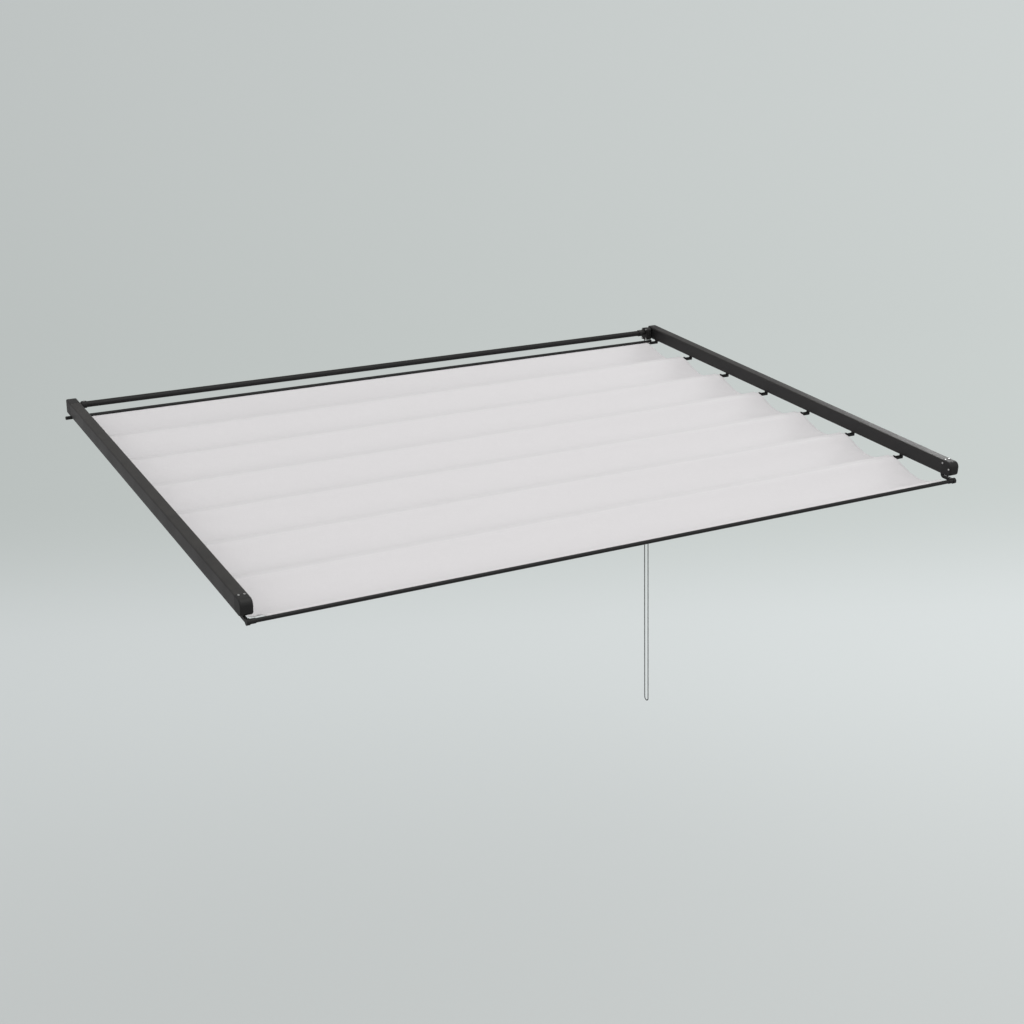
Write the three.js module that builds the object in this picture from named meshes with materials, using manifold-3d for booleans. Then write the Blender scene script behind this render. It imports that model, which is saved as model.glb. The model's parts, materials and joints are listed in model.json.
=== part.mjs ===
// Retractable pergola roof: a fabric canopy on cross bars that hang from gliders in two sloping rails.
// A belt in each rail moves the front bar, one shaft across the back drives both belts,
// and an endless hand chain turns that shaft.
// Millimetres, +X to the right, +Y to the rear, +Z up. The origin lies in the middle between the rails,
// above the drive shaft and level with the tops of the rails.
import * as THREE from 'three';
import { mergeVertices } from 'three/addons/utils/BufferGeometryUtils.js';
import Module from 'manifold-3d';

const wasm = await Module();
wasm.setup();

// Overall
const CLEAR_WIDTH = 3880; // between the inner faces of the rails
const SLOPE_DEGREES = 6.2; // fall of the roof towards the front
const BAY_COUNT = 7;
const BAY_LENGTH = 410; // from bar to bar, with the roof closed
const CLEARANCE = 0.3; // between pieces that touch

// Rails
const RAIL_WIDTH = 60;
const RAIL_HEIGHT = 75;
const RAIL_WALL = 2.5;
const RAIL_CORNER = 8;
const RAIL_SLOT = 18;

// Drive heads at the rear and caps at the front
const CASTING_WALL = 3;
const HEAD_LENGTH = 68; // from the drive shaft to the rail
const HEAD_ROOM = 3; // between the drive pulley and the inside of the head's rear wall
const HEAD_LOWER_CORNER = 16;
const HEAD_UPPER_CORNER = 8;
const NOSE_UPPER_RADIUS = 30;
const NOSE_LOWER_RADIUS = 18;
const NOSE_ROOM = 2.5; // between the idler and the inside of the nose
const IDLER_INSET = 47; // from the end of the rail to the idler's axle
const AXLE_SEAT_DEPTH = 1.5;

// Belts, pulleys and axles
const BELT_ROOM = 5.7; // between a glider and the belt's lower run
const PULLEY_FLANGE_HEIGHT = 2.5;
const PULLEY_FLANGE = 2;
const BELT_WIDTH = 12;
const BELT_THICKNESS = 2;
const BELT_SIDE_PLAY = 0.5;
const AXLE_RADIUS = 5;
const SHAFT_RADIUS = 8;
const SHAFT_TAIL = 1; // past the outer flange of the drive pulley
const BUSH_WALL = 4;
const BUSH_FLANGE = 4;
const BUSH_FLANGE_LENGTH = 3;

// Torque tube across the back
const TUBE_RADIUS = 17.5;
const TUBE_WALL = 2;
const COUPLING_WALL = 3.2;
const COUPLING_LENGTH = 28;
const COUPLING_HUB_LENGTH = 17; // thinner part on the stub shaft
const COUPLING_HUB_WALL = 6.5;
const TUBE_INSERTION = 14;
const COUPLING_STANDOFF = 3; // from the head or from the chain housing

// Chain drive
const CHAIN_RADIUS = 4;
const CHAIN_WHEEL_PITCH_RADIUS = 22;
const CHAIN_DROP = 2690; // from the drive shaft to the centre of the bottom bend
const CHAIN_PLAY = 0.8; // beside the chain, in the wheel
const WHEEL_PLAY = 0.8; // beside the wheel's hub and round the shaft, in the housing
const CHAIN_HOLE_PLAY = 2;
const WHEEL_FLANGE = 3;
const WHEEL_RIM = 1.5; // flange above the middle of the chain
const WHEEL_HUB_WALL = 4;
const HOUSING_WIDTH = 36;
const HOUSING_WALL = 3;
const HOUSING_ROOM = 2; // round the chain
const HOUSING_ABOVE_BAR = 1; // clear of the rear bar
const HOUSING_CORNER = 16;
const NECK_SEAT = 3.7; // on the drive head, round its bush
const NECK_LENGTH = 9;

// Cross bars and what carries them
const BAR_RADIUS = 10;
const BAR_WALL = 1.5;
const BAR_GAP_BELOW_RAIL = 4.5; // over the rear bar
const HOOKED_BAR_DROP = 9; // below the rear bar, for the bars on sliding hooks
const REAR_BAR_ROOM = 3.1; // between the chain and the rear bar
const HANGER_OVERHANG = 25; // past the outer faces of the rails
const HANGER_PLATE_WIDTH = 44;
const HANGER_PLATE_LENGTH = 24;
const HANGER_PLATE_HEIGHT = 4;
const GLIDER_LENGTH = 24;
const GLIDER_HEIGHT = 10;
const GLIDER_SIDE_PLAY = 0.5;
const STEM_LENGTH = 14;
const STEM_PLAY = 2; // on each side in the slot
const FOOT_PAST_RAIL = 26; // from the inner face of the rail to the end of the bar
const FOOT_LENGTH = 18;
const FOOT_HEIGHT = 16;
const FOOT_BELOW_BAR = 10.5;
const FOOT_CORNER = 4;
const CHEEK_WIDTH = 12; // upright part of the foot, at the end of the bar
const SPIGOT_LENGTH = 20;

// Front bar and lead carriages
const FRONT_BAR_DROP = 10.5; // below the rear bar
const ARM_REACH = 85; // from the carriage's stem to the front bar
const ARM_WIDTH = 16;
const ARM_DEPTH = 17;
const ARM_BEND = 5; // inside the bend
const EYE_WALL = 5;
const EYE_END_WALL = 3;
const SLEEVE_LENGTH = 27; // round the end of the front bar
const SLEEVE_WALL = 2;
const LEAD_GLIDER_BEHIND = 32;
const LEAD_GLIDER_AHEAD = 8;
const LEAD_STOP = 3; // between the lead glider and the cap
const CLAMP_LENGTH = 24;
const CLAMP_WALL = 3;

// Fabric
const FABRIC_THICKNESS = 1.2;
const FABRIC_SIDE_GAP = 4; // from the edge to the hooks
const FABRIC_SAG = 66; // between two hooked bars
const REAR_EDGE_DROP = 6; // below the middle of the rear bar
const CREST_SHARE = 0.34; // part of a half bay that is rounded over the bar
const FABRIC_STEPS = 8; // in half a bay

// Roundness of arcs and turned pieces
const CORNER_STEPS = 4;
const HALF_TURN_STEPS = 12;
const TURNED_STEPS = 20;
const CHAIN_SIDES = 8;
const STRAND_STEPS = 20;
const MERGE_DISTANCE = 1e-4;
const CUT_MARGIN = 1; // how far a cutter runs past a face

// Places that follow from the sizes, in the tilted frame of the roof
const SLOPE = THREE.MathUtils.degToRad(SLOPE_DEGREES);
const INNER_FACE = CLEAR_WIDTH / 2;
const RAIL_CENTRE = INNER_FACE + RAIL_WIDTH / 2;
const SHAFT_Z = -RAIL_HEIGHT / 2;
const REAR_BAR_Z = -(RAIL_HEIGHT + BAR_GAP_BELOW_RAIL + BAR_RADIUS);
const HOOKED_BAR_Z = REAR_BAR_Z - HOOKED_BAR_DROP;
const FRONT_BAR_Z = REAR_BAR_Z - FRONT_BAR_DROP;
const CHAIN_REACH = CHAIN_WHEEL_PITCH_RADIUS + CHAIN_RADIUS; // from the shaft to the chain's outside
const BAR_BELOW_SHAFT = SHAFT_Z - REAR_BAR_Z;
const REAR_BAR_OFFSET = (CHAIN_REACH + REAR_BAR_ROOM + BAR_RADIUS + BAR_BELOW_SHAFT * Math.sin(SLOPE))
  / Math.cos(SLOPE); // in front of the drive shaft
const barY = (index) => -REAR_BAR_OFFSET - index * BAY_LENGTH;
const FRONT_BAR_Y = barY(BAY_COUNT);
const STEM_Y = FRONT_BAR_Y + ARM_REACH;
const LEAD_GLIDER_FRONT = STEM_Y - LEAD_GLIDER_AHEAD;
const RAIL_REAR = -HEAD_LENGTH;
const RAIL_FRONT = LEAD_GLIDER_FRONT - LEAD_STOP;
const IDLER_Y = RAIL_FRONT - IDLER_INSET;
const LIP_TOP = -RAIL_HEIGHT + RAIL_WALL;
const GLIDER_BOTTOM = LIP_TOP + CLEARANCE;
const GLIDER_TOP = GLIDER_BOTTOM + GLIDER_HEIGHT;
const GLIDER_WIDTH = RAIL_WIDTH - 2 * (RAIL_WALL + GLIDER_SIDE_PLAY);
const STEM_WIDTH = RAIL_SLOT - 2 * STEM_PLAY;
const BELT_Z = GLIDER_TOP + BELT_ROOM + BELT_THICKNESS / 2; // middle of the lower run
const PULLEY_PITCH_RADIUS = SHAFT_Z - BELT_Z;
const BELT_INNER_RADIUS = PULLEY_PITCH_RADIUS - BELT_THICKNESS / 2;
const BELT_OUTER_RADIUS = PULLEY_PITCH_RADIUS + BELT_THICKNESS / 2;
const FLANGE_RADIUS = PULLEY_PITCH_RADIUS + PULLEY_FLANGE_HEIGHT;
const HEAD_REAR = FLANGE_RADIUS + HEAD_ROOM + CASTING_WALL;
const NOSE_Y = IDLER_Y - FLANGE_RADIUS - NOSE_ROOM - CASTING_WALL;
const PULLEY_WIDTH = BELT_WIDTH + 2 * (BELT_SIDE_PLAY + PULLEY_FLANGE);
const SHAFT_END = RAIL_CENTRE + PULLEY_WIDTH / 2 + SHAFT_TAIL;
const BUSH_RADIUS = SHAFT_RADIUS + CLEARANCE + BUSH_WALL;
const NECK_RADIUS = BUSH_RADIUS + NECK_SEAT;
const COUPLING_RADIUS = TUBE_RADIUS + CLEARANCE + COUPLING_WALL;
const COUPLING_HUB_RADIUS = SHAFT_RADIUS + CLEARANCE + COUPLING_HUB_WALL;
const COUPLING_REACH = COUPLING_LENGTH + COUPLING_HUB_LENGTH;
const FOOT_X = INNER_FACE - FOOT_PAST_RAIL;
const FOOT_REACH = RAIL_CENTRE - FOOT_X;
const FOOT_BOTTOM = REAR_BAR_Z - BAR_RADIUS - FOOT_BELOW_BAR;
const HOUSING_SIDE = CHAIN_REACH + HOUSING_ROOM + HOUSING_WALL; // from the shaft to the front and the rear
const REAR_BAR_TOP = BAR_RADIUS - REAR_BAR_OFFSET * Math.sin(SLOPE) - BAR_BELOW_SHAFT * Math.cos(SLOPE);
const HOUSING_BOTTOM = REAR_BAR_TOP + HOUSING_ABOVE_BAR; // from the shaft, plumb
const HOUSING_OUTER_X = INNER_FACE - NECK_LENGTH;
const HOUSING_INNER_X = HOUSING_OUTER_X - HOUSING_WIDTH;
const CHAIN_X = HOUSING_OUTER_X - HOUSING_WIDTH / 2;
const LEFT_COUPLING_X = INNER_FACE - COUPLING_STANDOFF; // outer end, to the left
const RIGHT_COUPLING_X = HOUSING_INNER_X - COUPLING_STANDOFF; // outer end, to the right
const CREST_Z = HOOKED_BAR_Z + BAR_RADIUS + CLEARANCE; // underside of the fabric on a hooked bar
const VALLEY_Z = CREST_Z - FABRIC_SAG;

// Finishes
const finish = (color, roughness, metalness) =>
  new THREE.MeshStandardMaterial({ color, roughness, metalness });
const COATED_ALUMINIUM = finish(0x3d3d3e, 0.45, 0.1);
const CAST_COVER = finish(0x343536, 0.5, 0);
const BLACK_PLASTIC = finish(0x171717, 0.5, 0);
const DARK_BAR = finish(0x323233, 0.45, 0.1);
const STEEL = finish(0x9b9d9f, 0.35, 0.9);
const BELT_RUBBER = finish(0x1b1b1b, 0.8, 0);
const CANOPY_FABRIC = finish(0xd9d7d8, 0.9, 0);

// Points on an arc, from one angle to another
function arc(x, y, radius, from, to, steps) {
  return Array.from({ length: steps + 1 }, (_, i) => {
    const angle = from + ((to - from) * i) / steps;
    return [x + radius * Math.cos(angle), y + radius * Math.sin(angle)];
  });
}

// A closed outline from points, without the ones that repeat
function outline(points) {
  const apart = ([x, y], [u, v]) => Math.hypot(x - u, y - v) > MERGE_DISTANCE;
  const kept = points.filter((point, i) => apart(point, points.at(i - 1)));
  return new THREE.Shape(kept.map(([x, y]) => new THREE.Vector2(x, y)));
}

// A profile drawn across the roof, x to the right and y up, that runs from front to rear
function extrudeAlong(shape, front, rear) {
  const geometry = new THREE.ExtrudeGeometry(shape, { depth: rear - front, bevelEnabled: false });
  return geometry.rotateX(Math.PI / 2).translate(0, rear, 0);
}

// A profile drawn from the side, x to the rear and y up, that runs from left to right
const SIDE_VIEW = new THREE.Matrix4().makeBasis(
  new THREE.Vector3(0, 1, 0), new THREE.Vector3(0, 0, 1), new THREE.Vector3(1, 0, 0));
function extrudeAcross(shape, left, right) {
  const geometry = new THREE.ExtrudeGeometry(shape, { depth: right - left, bevelEnabled: false });
  return geometry.applyMatrix4(SIDE_VIEW).translate(left, 0, 0);
}

// A piece turned about a line along X: profile points are [radius, x], with the outside towards +X
function turned(profile) {
  const points = [...profile, profile[0]].map(([radius, x]) => new THREE.Vector2(radius, x));
  return new THREE.LatheGeometry(points, TURNED_STEPS).rotateZ(-Math.PI / 2);
}

const ring = (inner, outer, left, right) =>
  turned([[outer, left], [outer, right], [inner, right], [inner, left]]);

function rod(radius, left, right) {
  const geometry = new THREE.CylinderGeometry(radius, radius, right - left, TURNED_STEPS);
  return geometry.rotateZ(-Math.PI / 2).translate((left + right) / 2, 0, 0);
}

function block(left, right, front, rear, bottom, top) {
  const geometry = new THREE.BoxGeometry(right - left, rear - front, top - bottom);
  return geometry.translate((left + right) / 2, (front + rear) / 2, (bottom + top) / 2);
}

// Booleans
function solidOf(geometry) {
  const plain = geometry.clone();
  plain.deleteAttribute('normal');
  plain.deleteAttribute('uv');
  const merged = mergeVertices(plain, MERGE_DISTANCE);
  const triVerts = new Uint32Array(merged.index.array);
  const vertProperties = merged.attributes.position.array;
  return new wasm.Manifold(new wasm.Mesh({ numProp: 3, vertProperties, triVerts }));
}

function geometryOf(solid) {
  const { vertProperties, triVerts } = solid.getMesh();
  const geometry = new THREE.BufferGeometry();
  geometry.setAttribute('position', new THREE.BufferAttribute(vertProperties, 3));
  geometry.setIndex(new THREE.BufferAttribute(triVerts, 1));
  const faceted = geometry.toNonIndexed();
  faceted.computeVertexNormals();
  return faceted;
}

const join = (...pieces) => geometryOf(pieces.map(solidOf).reduce((all, piece) => all.add(piece)));
const cut = (piece, ...cutters) =>
  geometryOf(cutters.map(solidOf).reduce((rest, cutter) => rest.subtract(cutter), solidOf(piece)));
const common = (first, second) => geometryOf(solidOf(first).intersect(solidOf(second)));

function addPiece(group, name, geometry, material, x = 0, y = 0, z = 0) {
  const mesh = new THREE.Mesh(geometry, material);
  mesh.name = name;
  mesh.position.set(x, y, z);
  group.add(mesh);
}

// Rail: a hollow section with a slot along the underside
function railTop(radius, clockwise) {
  const x = RAIL_WIDTH / 2 - RAIL_CORNER;
  const right = arc(x, -RAIL_CORNER, radius, 0, Math.PI / 2, CORNER_STEPS);
  const left = arc(-x, -RAIL_CORNER, radius, Math.PI / 2, Math.PI, CORNER_STEPS);
  const points = [...right, ...left];
  return clockwise ? points.reverse() : points;
}

function railSection() {
  const half = RAIL_WIDTH / 2;
  const inside = half - RAIL_WALL;
  const slot = RAIL_SLOT / 2;
  return outline([
    [slot, -RAIL_HEIGHT],
    [half, -RAIL_HEIGHT],
    ...railTop(RAIL_CORNER, false),
    [-half, -RAIL_HEIGHT],
    [-slot, -RAIL_HEIGHT],
    [-slot, LIP_TOP],
    [-inside, LIP_TOP],
    ...railTop(RAIL_CORNER - RAIL_WALL, true),
    [inside, LIP_TOP],
    [slot, LIP_TOP],
  ]);
}

// Outer form of the castings: the rail's section, without a slot
function castingSection() {
  const half = RAIL_WIDTH / 2;
  return outline([[-half, -RAIL_HEIGHT], [half, -RAIL_HEIGHT], ...railTop(RAIL_CORNER, false)]);
}

// Drive head: a casting round the drive pulley, open to the rail, with the shaft's bush in its inner wall
function headOutline(front, wall) {
  const rear = HEAD_REAR - wall;
  const bottom = wall - RAIL_HEIGHT;
  const lower = HEAD_LOWER_CORNER - wall;
  const upper = HEAD_UPPER_CORNER - wall;
  return outline([
    [front, -wall],
    [front, bottom],
    ...arc(rear - lower, bottom + lower, lower, -Math.PI / 2, 0, CORNER_STEPS),
    ...arc(rear - upper, -wall - upper, upper, 0, Math.PI / 2, CORNER_STEPS),
  ]);
}

function driveHead() {
  const half = RAIL_WIDTH / 2;
  const inside = half - CASTING_WALL;
  const front = RAIL_REAR + CLEARANCE;
  const form = extrudeAcross(headOutline(front, 0), -half, half);
  const section = extrudeAlong(castingSection(), front, RAIL_HEIGHT);
  const hollow = extrudeAcross(headOutline(front - CUT_MARGIN, CASTING_WALL), -inside, inside);
  const bore = rod(BUSH_RADIUS + CLEARANCE, -half - CUT_MARGIN, 0).translate(0, 0, SHAFT_Z);
  return cut(common(form, section), hollow, bore);
}

// Front cap: a casting round the idler, with a rounded nose and seats for the axle in its side walls
function capOutline(rear, wall) {
  const front = NOSE_Y + wall;
  const bottom = wall - RAIL_HEIGHT;
  const lower = NOSE_LOWER_RADIUS - wall;
  const upper = NOSE_UPPER_RADIUS - wall;
  return outline([
    ...arc(front + lower, bottom + lower, lower, Math.PI, 1.5 * Math.PI, HALF_TURN_STEPS),
    [rear, bottom],
    [rear, -wall],
    ...arc(front + upper, -wall - upper, upper, Math.PI / 2, Math.PI, HALF_TURN_STEPS),
  ]);
}

function frontCap() {
  const half = RAIL_WIDTH / 2;
  const inside = half - CASTING_WALL;
  const rear = RAIL_FRONT - CLEARANCE;
  const form = extrudeAcross(capOutline(rear, 0), -half, half);
  const section = extrudeAlong(castingSection(), NOSE_Y, rear);
  const hollow = extrudeAcross(capOutline(rear + CUT_MARGIN, CASTING_WALL), -inside, inside);
  const seatEnd = inside + AXLE_SEAT_DEPTH;
  const seats = rod(AXLE_RADIUS + CLEARANCE, -seatEnd, seatEnd).translate(0, IDLER_Y, SHAFT_Z);
  return cut(common(form, section), hollow, seats);
}

// Pulley with two flanges for a flat belt, on a bore
function pulley(bore) {
  const edge = PULLEY_WIDTH / 2;
  const track = edge - PULLEY_FLANGE;
  const drum = BELT_INNER_RADIUS - CLEARANCE;
  return turned([
    [FLANGE_RADIUS, -edge], [FLANGE_RADIUS, -track], [drum, -track], [drum, track],
    [FLANGE_RADIUS, track], [FLANGE_RADIUS, edge], [bore, edge], [bore, -edge],
  ]);
}

function beltLoop(radius) {
  return [
    ...arc(0, SHAFT_Z, radius, -Math.PI / 2, Math.PI / 2, HALF_TURN_STEPS),
    ...arc(IDLER_Y, SHAFT_Z, radius, Math.PI / 2, 1.5 * Math.PI, HALF_TURN_STEPS),
  ];
}

function belt() {
  const loop = outline(beltLoop(BELT_OUTER_RADIUS));
  loop.holes.push(outline(beltLoop(BELT_INNER_RADIUS)));
  return extrudeAcross(loop, -BELT_WIDTH / 2, BELT_WIDTH / 2);
}

// Bush in the inner wall of a drive head, with its flange inside the head
function shaftBush() {
  const bore = SHAFT_RADIUS + CLEARANCE;
  const wallInside = INNER_FACE + CASTING_WALL + CLEARANCE;
  const end = wallInside + BUSH_FLANGE_LENGTH;
  const flange = BUSH_RADIUS + BUSH_FLANGE;
  return turned([
    [BUSH_RADIUS, INNER_FACE], [BUSH_RADIUS, wallInside], [flange, wallInside],
    [flange, end], [bore, end], [bore, INNER_FACE],
  ]);
}

// Coupling that joins the torque tube to a stub shaft, with the tube's end towards -X
function tubeCoupling(outerEnd) {
  const innerEnd = outerEnd - COUPLING_REACH;
  const shoulder = outerEnd - COUPLING_HUB_LENGTH;
  const step = innerEnd + TUBE_INSERTION + CLEARANCE;
  const tubeBore = TUBE_RADIUS + CLEARANCE;
  const shaftBore = SHAFT_RADIUS + CLEARANCE;
  return turned([
    [COUPLING_RADIUS, innerEnd], [COUPLING_RADIUS, shoulder], [COUPLING_HUB_RADIUS, shoulder],
    [COUPLING_HUB_RADIUS, outerEnd], [shaftBore, outerEnd], [shaftBore, step], [tubeBore, step],
    [tubeBore, innerEnd],
  ]);
}

// Hook: a stem, a foot under the bar's end, and an upright cheek on the foot with a spigot for the bar
function footOutline(bottom, top) {
  const side = FOOT_LENGTH / 2 - FOOT_CORNER;
  const low = bottom + FOOT_CORNER;
  const high = top - FOOT_CORNER;
  return outline([
    ...arc(side, low, FOOT_CORNER, -Math.PI / 2, 0, CORNER_STEPS),
    ...arc(side, high, FOOT_CORNER, 0, Math.PI / 2, CORNER_STEPS),
    ...arc(-side, high, FOOT_CORNER, Math.PI / 2, Math.PI, CORNER_STEPS),
    ...arc(-side, low, FOOT_CORNER, Math.PI, 1.5 * Math.PI, CORNER_STEPS),
  ]);
}

function hookForms(barZ, stemTop) {
  const stem = STEM_WIDTH / 2;
  const spigot = BAR_RADIUS - BAR_WALL - CLEARANCE;
  const foot = footOutline(FOOT_BOTTOM, FOOT_BOTTOM + FOOT_HEIGHT);
  const cheek = footOutline(FOOT_BOTTOM, barZ + BAR_RADIUS);
  const cheekEnd = CHEEK_WIDTH - FOOT_REACH;
  return [
    block(-stem, stem, -STEM_LENGTH / 2, STEM_LENGTH / 2, FOOT_BOTTOM + FOOT_CORNER, stemTop),
    extrudeAcross(foot, -FOOT_REACH, stem),
    extrudeAcross(cheek, -FOOT_REACH, cheekEnd),
    rod(spigot, -FOOT_REACH - SPIGOT_LENGTH, cheekEnd).translate(0, 0, barZ),
  ];
}

// A hook on a glider that slides in the rail
function barHook() {
  const wide = GLIDER_WIDTH / 2;
  const long = GLIDER_LENGTH / 2;
  const glider = block(-wide, wide, -long, long, GLIDER_BOTTOM, GLIDER_TOP);
  return join(glider, ...hookForms(HOOKED_BAR_Z, GLIDER_TOP - CUT_MARGIN));
}

// The fixed hook of the rear bar: a plate under the drive head, and a stub to the outside
function rearHanger() {
  const wide = HANGER_PLATE_WIDTH / 2;
  const long = HANGER_PLATE_LENGTH / 2;
  const top = -RAIL_HEIGHT - CLEARANCE;
  const plate = block(-wide, wide, -long, long, top - HANGER_PLATE_HEIGHT, top);
  const stub = rod(BAR_RADIUS, 0, RAIL_WIDTH / 2 + HANGER_OVERHANG).translate(0, 0, REAR_BAR_Z);
  return join(plate, stub, ...hookForms(REAR_BAR_Z, top - CUT_MARGIN));
}

// Lead carriage: a long glider clamped to the belt, with an arm that reaches forward to the front bar
function armOutline() {
  const stemRear = STEM_Y + STEM_LENGTH / 2;
  const stemFront = STEM_Y - STEM_LENGTH / 2;
  const low = FRONT_BAR_Z - ARM_DEPTH / 2;
  const high = low + ARM_DEPTH;
  const outer = ARM_BEND + ARM_DEPTH;
  const top = GLIDER_TOP - CUT_MARGIN;
  return outline([
    [stemFront, top],
    ...arc(stemFront - ARM_BEND, high + ARM_BEND, ARM_BEND, 0, -Math.PI / 2, CORNER_STEPS),
    [FRONT_BAR_Y, high],
    [FRONT_BAR_Y, low],
    ...arc(stemRear - outer, low + outer, outer, -Math.PI / 2, 0, CORNER_STEPS),
    [stemRear, top],
  ]);
}

function leadCarriage() {
  const wide = GLIDER_WIDTH / 2;
  const arm = ARM_WIDTH / 2;
  const stem = STEM_WIDTH / 2;
  const bore = BAR_RADIUS + CLEARANCE;
  const eye = bore + EYE_WALL;
  const sleeve = bore + SLEEVE_WALL;
  const sleeveEnd = -arm - SLEEVE_LENGTH;
  const gliderRear = STEM_Y + LEAD_GLIDER_BEHIND;
  const beltSide = BELT_WIDTH / 2 + CLEARANCE;
  const beltHalf = BELT_THICKNESS / 2 + CLEARANCE;
  const clampSide = beltSide + CLAMP_WALL;
  const clampFront = STEM_Y - STEM_LENGTH / 2;
  const clampRear = clampFront + CLAMP_LENGTH;
  const body = join(
    block(-wide, wide, LEAD_GLIDER_FRONT, gliderRear, GLIDER_BOTTOM, GLIDER_TOP),
    block(-clampSide, clampSide, clampFront, clampRear, GLIDER_BOTTOM, BELT_Z + beltHalf + CLAMP_WALL),
    extrudeAcross(armOutline(), -stem, stem),
    rod(eye, -arm, arm).translate(0, FRONT_BAR_Y, FRONT_BAR_Z),
    rod(sleeve, sleeveEnd, 0).translate(0, FRONT_BAR_Y, FRONT_BAR_Z),
  );
  const beltWay = block(-clampSide - CUT_MARGIN, beltSide, clampFront - CUT_MARGIN, clampRear + CUT_MARGIN,
    BELT_Z - beltHalf, BELT_Z + beltHalf);
  const socket = rod(bore, sleeveEnd - CUT_MARGIN, arm - EYE_END_WALL);
  return cut(body, beltWay, socket.translate(0, FRONT_BAR_Y, FRONT_BAR_Z));
}

// Everything at one end of the bars, drawn for the right-hand rail and mirrored for the left
function addRailSide(roof, side, direction) {
  const group = new THREE.Group();
  group.scale.x = direction;
  roof.add(group);
  const add = (name, geometry, material, x = RAIL_CENTRE, y = 0, z = 0) =>
    addPiece(group, `${name}_${side}`, geometry, material, x, y, z);
  const axleEnd = RAIL_WIDTH / 2 - CASTING_WALL + AXLE_SEAT_DEPTH - CLEARANCE;

  add('rail', extrudeAlong(railSection(), RAIL_FRONT, RAIL_REAR), COATED_ALUMINIUM);
  add('drive_head', driveHead(), CAST_COVER);
  add('front_cap', frontCap(), CAST_COVER);
  add('idler_axle', rod(AXLE_RADIUS, -axleEnd, axleEnd), STEEL, RAIL_CENTRE, IDLER_Y, SHAFT_Z);
  add('idler_pulley', pulley(AXLE_RADIUS + CLEARANCE), BLACK_PLASTIC, RAIL_CENTRE, IDLER_Y, SHAFT_Z);
  add('drive_pulley', pulley(SHAFT_RADIUS + CLEARANCE), BLACK_PLASTIC, RAIL_CENTRE, 0, SHAFT_Z);
  add('drive_belt', belt(), BELT_RUBBER);
  add('shaft_bush', shaftBush(), BLACK_PLASTIC, 0, 0, SHAFT_Z);
  add('rear_hanger', rearHanger(), BLACK_PLASTIC, RAIL_CENTRE, barY(0));
  add('lead_carriage', leadCarriage(), CAST_COVER);

  const couplingEnd = direction < 0 ? LEFT_COUPLING_X : RIGHT_COUPLING_X;
  const shaftStart = couplingEnd - COUPLING_REACH + TUBE_INSERTION + CLEARANCE;
  add('tube_coupling', tubeCoupling(couplingEnd), CAST_COVER, 0, 0, SHAFT_Z);
  add('stub_shaft', rod(SHAFT_RADIUS, shaftStart, SHAFT_END), STEEL, 0, 0, SHAFT_Z);
  for (let i = 1; i < BAY_COUNT; i++) {
    addPiece(group, `bar_hook_${side}_${i}`, barHook(), BLACK_PLASTIC, RAIL_CENTRE, barY(i));
  }
}

// Cross bars: the rear one is fixed, the front one leads and the others hang between hooks
const barTube = (halfLength) => ring(BAR_RADIUS - BAR_WALL, BAR_RADIUS, -halfLength, halfLength);

function addBars(roof) {
  const hookedHalf = FOOT_X - CLEARANCE;
  const frontHalf = RAIL_CENTRE + ARM_WIDTH / 2 - EYE_END_WALL - CLEARANCE;
  addPiece(roof, 'rear_bar', barTube(hookedHalf), DARK_BAR, 0, barY(0), REAR_BAR_Z);
  for (let i = 1; i < BAY_COUNT; i++) {
    addPiece(roof, `roof_bar_${i}`, barTube(hookedHalf), DARK_BAR, 0, barY(i), HOOKED_BAR_Z);
  }
  addPiece(roof, 'front_bar', barTube(frontHalf), DARK_BAR, 0, FRONT_BAR_Y, FRONT_BAR_Z);
}

function addTorqueTube(roof) {
  const left = -(LEFT_COUPLING_X - COUPLING_REACH + TUBE_INSERTION);
  const right = RIGHT_COUPLING_X - COUPLING_REACH + TUBE_INSERTION;
  const tube = ring(TUBE_RADIUS - TUBE_WALL, TUBE_RADIUS, left, right);
  addPiece(roof, 'torque_tube', tube, DARK_BAR, 0, 0, SHAFT_Z);
}

// Fabric: each bay hangs in a wave between two bars, rounded where it lies over one
const waveRise = (t) => {
  const bend = 1 - CREST_SHARE;
  return t < bend ? (t * t) / bend : 1 - (1 - t) ** 2 / CREST_SHARE;
};
const hangingRise = (t) => t * t;

// Half a bay as points from its lowest line to its edge at a bar
function halfBay(middle, edgeY, edgeZ, rise) {
  return Array.from({ length: FABRIC_STEPS + 1 }, (_, i) => {
    const t = i / FABRIC_STEPS;
    return [middle + (edgeY - middle) * t, VALLEY_Z + (edgeZ - VALLEY_Z) * rise(t)];
  });
}

function fabricBay(index) {
  const first = index === 1;
  const last = index === BAY_COUNT;
  const middle = (barY(index - 1) + barY(index)) / 2;
  const reach = Math.sqrt((BAR_RADIUS + CLEARANCE) ** 2 - (REAR_EDGE_DROP - FABRIC_THICKNESS) ** 2);
  const rearY = barY(index - 1) - (first ? reach : CLEARANCE / 2);
  const frontY = last ? FRONT_BAR_Y : barY(index) + CLEARANCE / 2;
  const rearZ = first ? REAR_BAR_Z - REAR_EDGE_DROP : CREST_Z;
  const frontZ = last ? FRONT_BAR_Z + BAR_RADIUS + CLEARANCE : CREST_Z;
  const underside = [
    ...halfBay(middle, frontY, frontZ, waveRise).reverse(),
    ...halfBay(middle, rearY, rearZ, first ? hangingRise : waveRise).slice(1),
  ];
  const upperside = underside.map(([y, z]) => [y, z + FABRIC_THICKNESS]).reverse();
  const half = FOOT_X - FABRIC_SIDE_GAP;
  return extrudeAcross(outline([...underside, ...upperside]), -half, half);
}

function addFabric(roof) {
  for (let i = 1; i <= BAY_COUNT; i++) {
    addPiece(roof, `fabric_bay_${i}`, fabricBay(i), CANOPY_FABRIC);
  }
}

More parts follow.
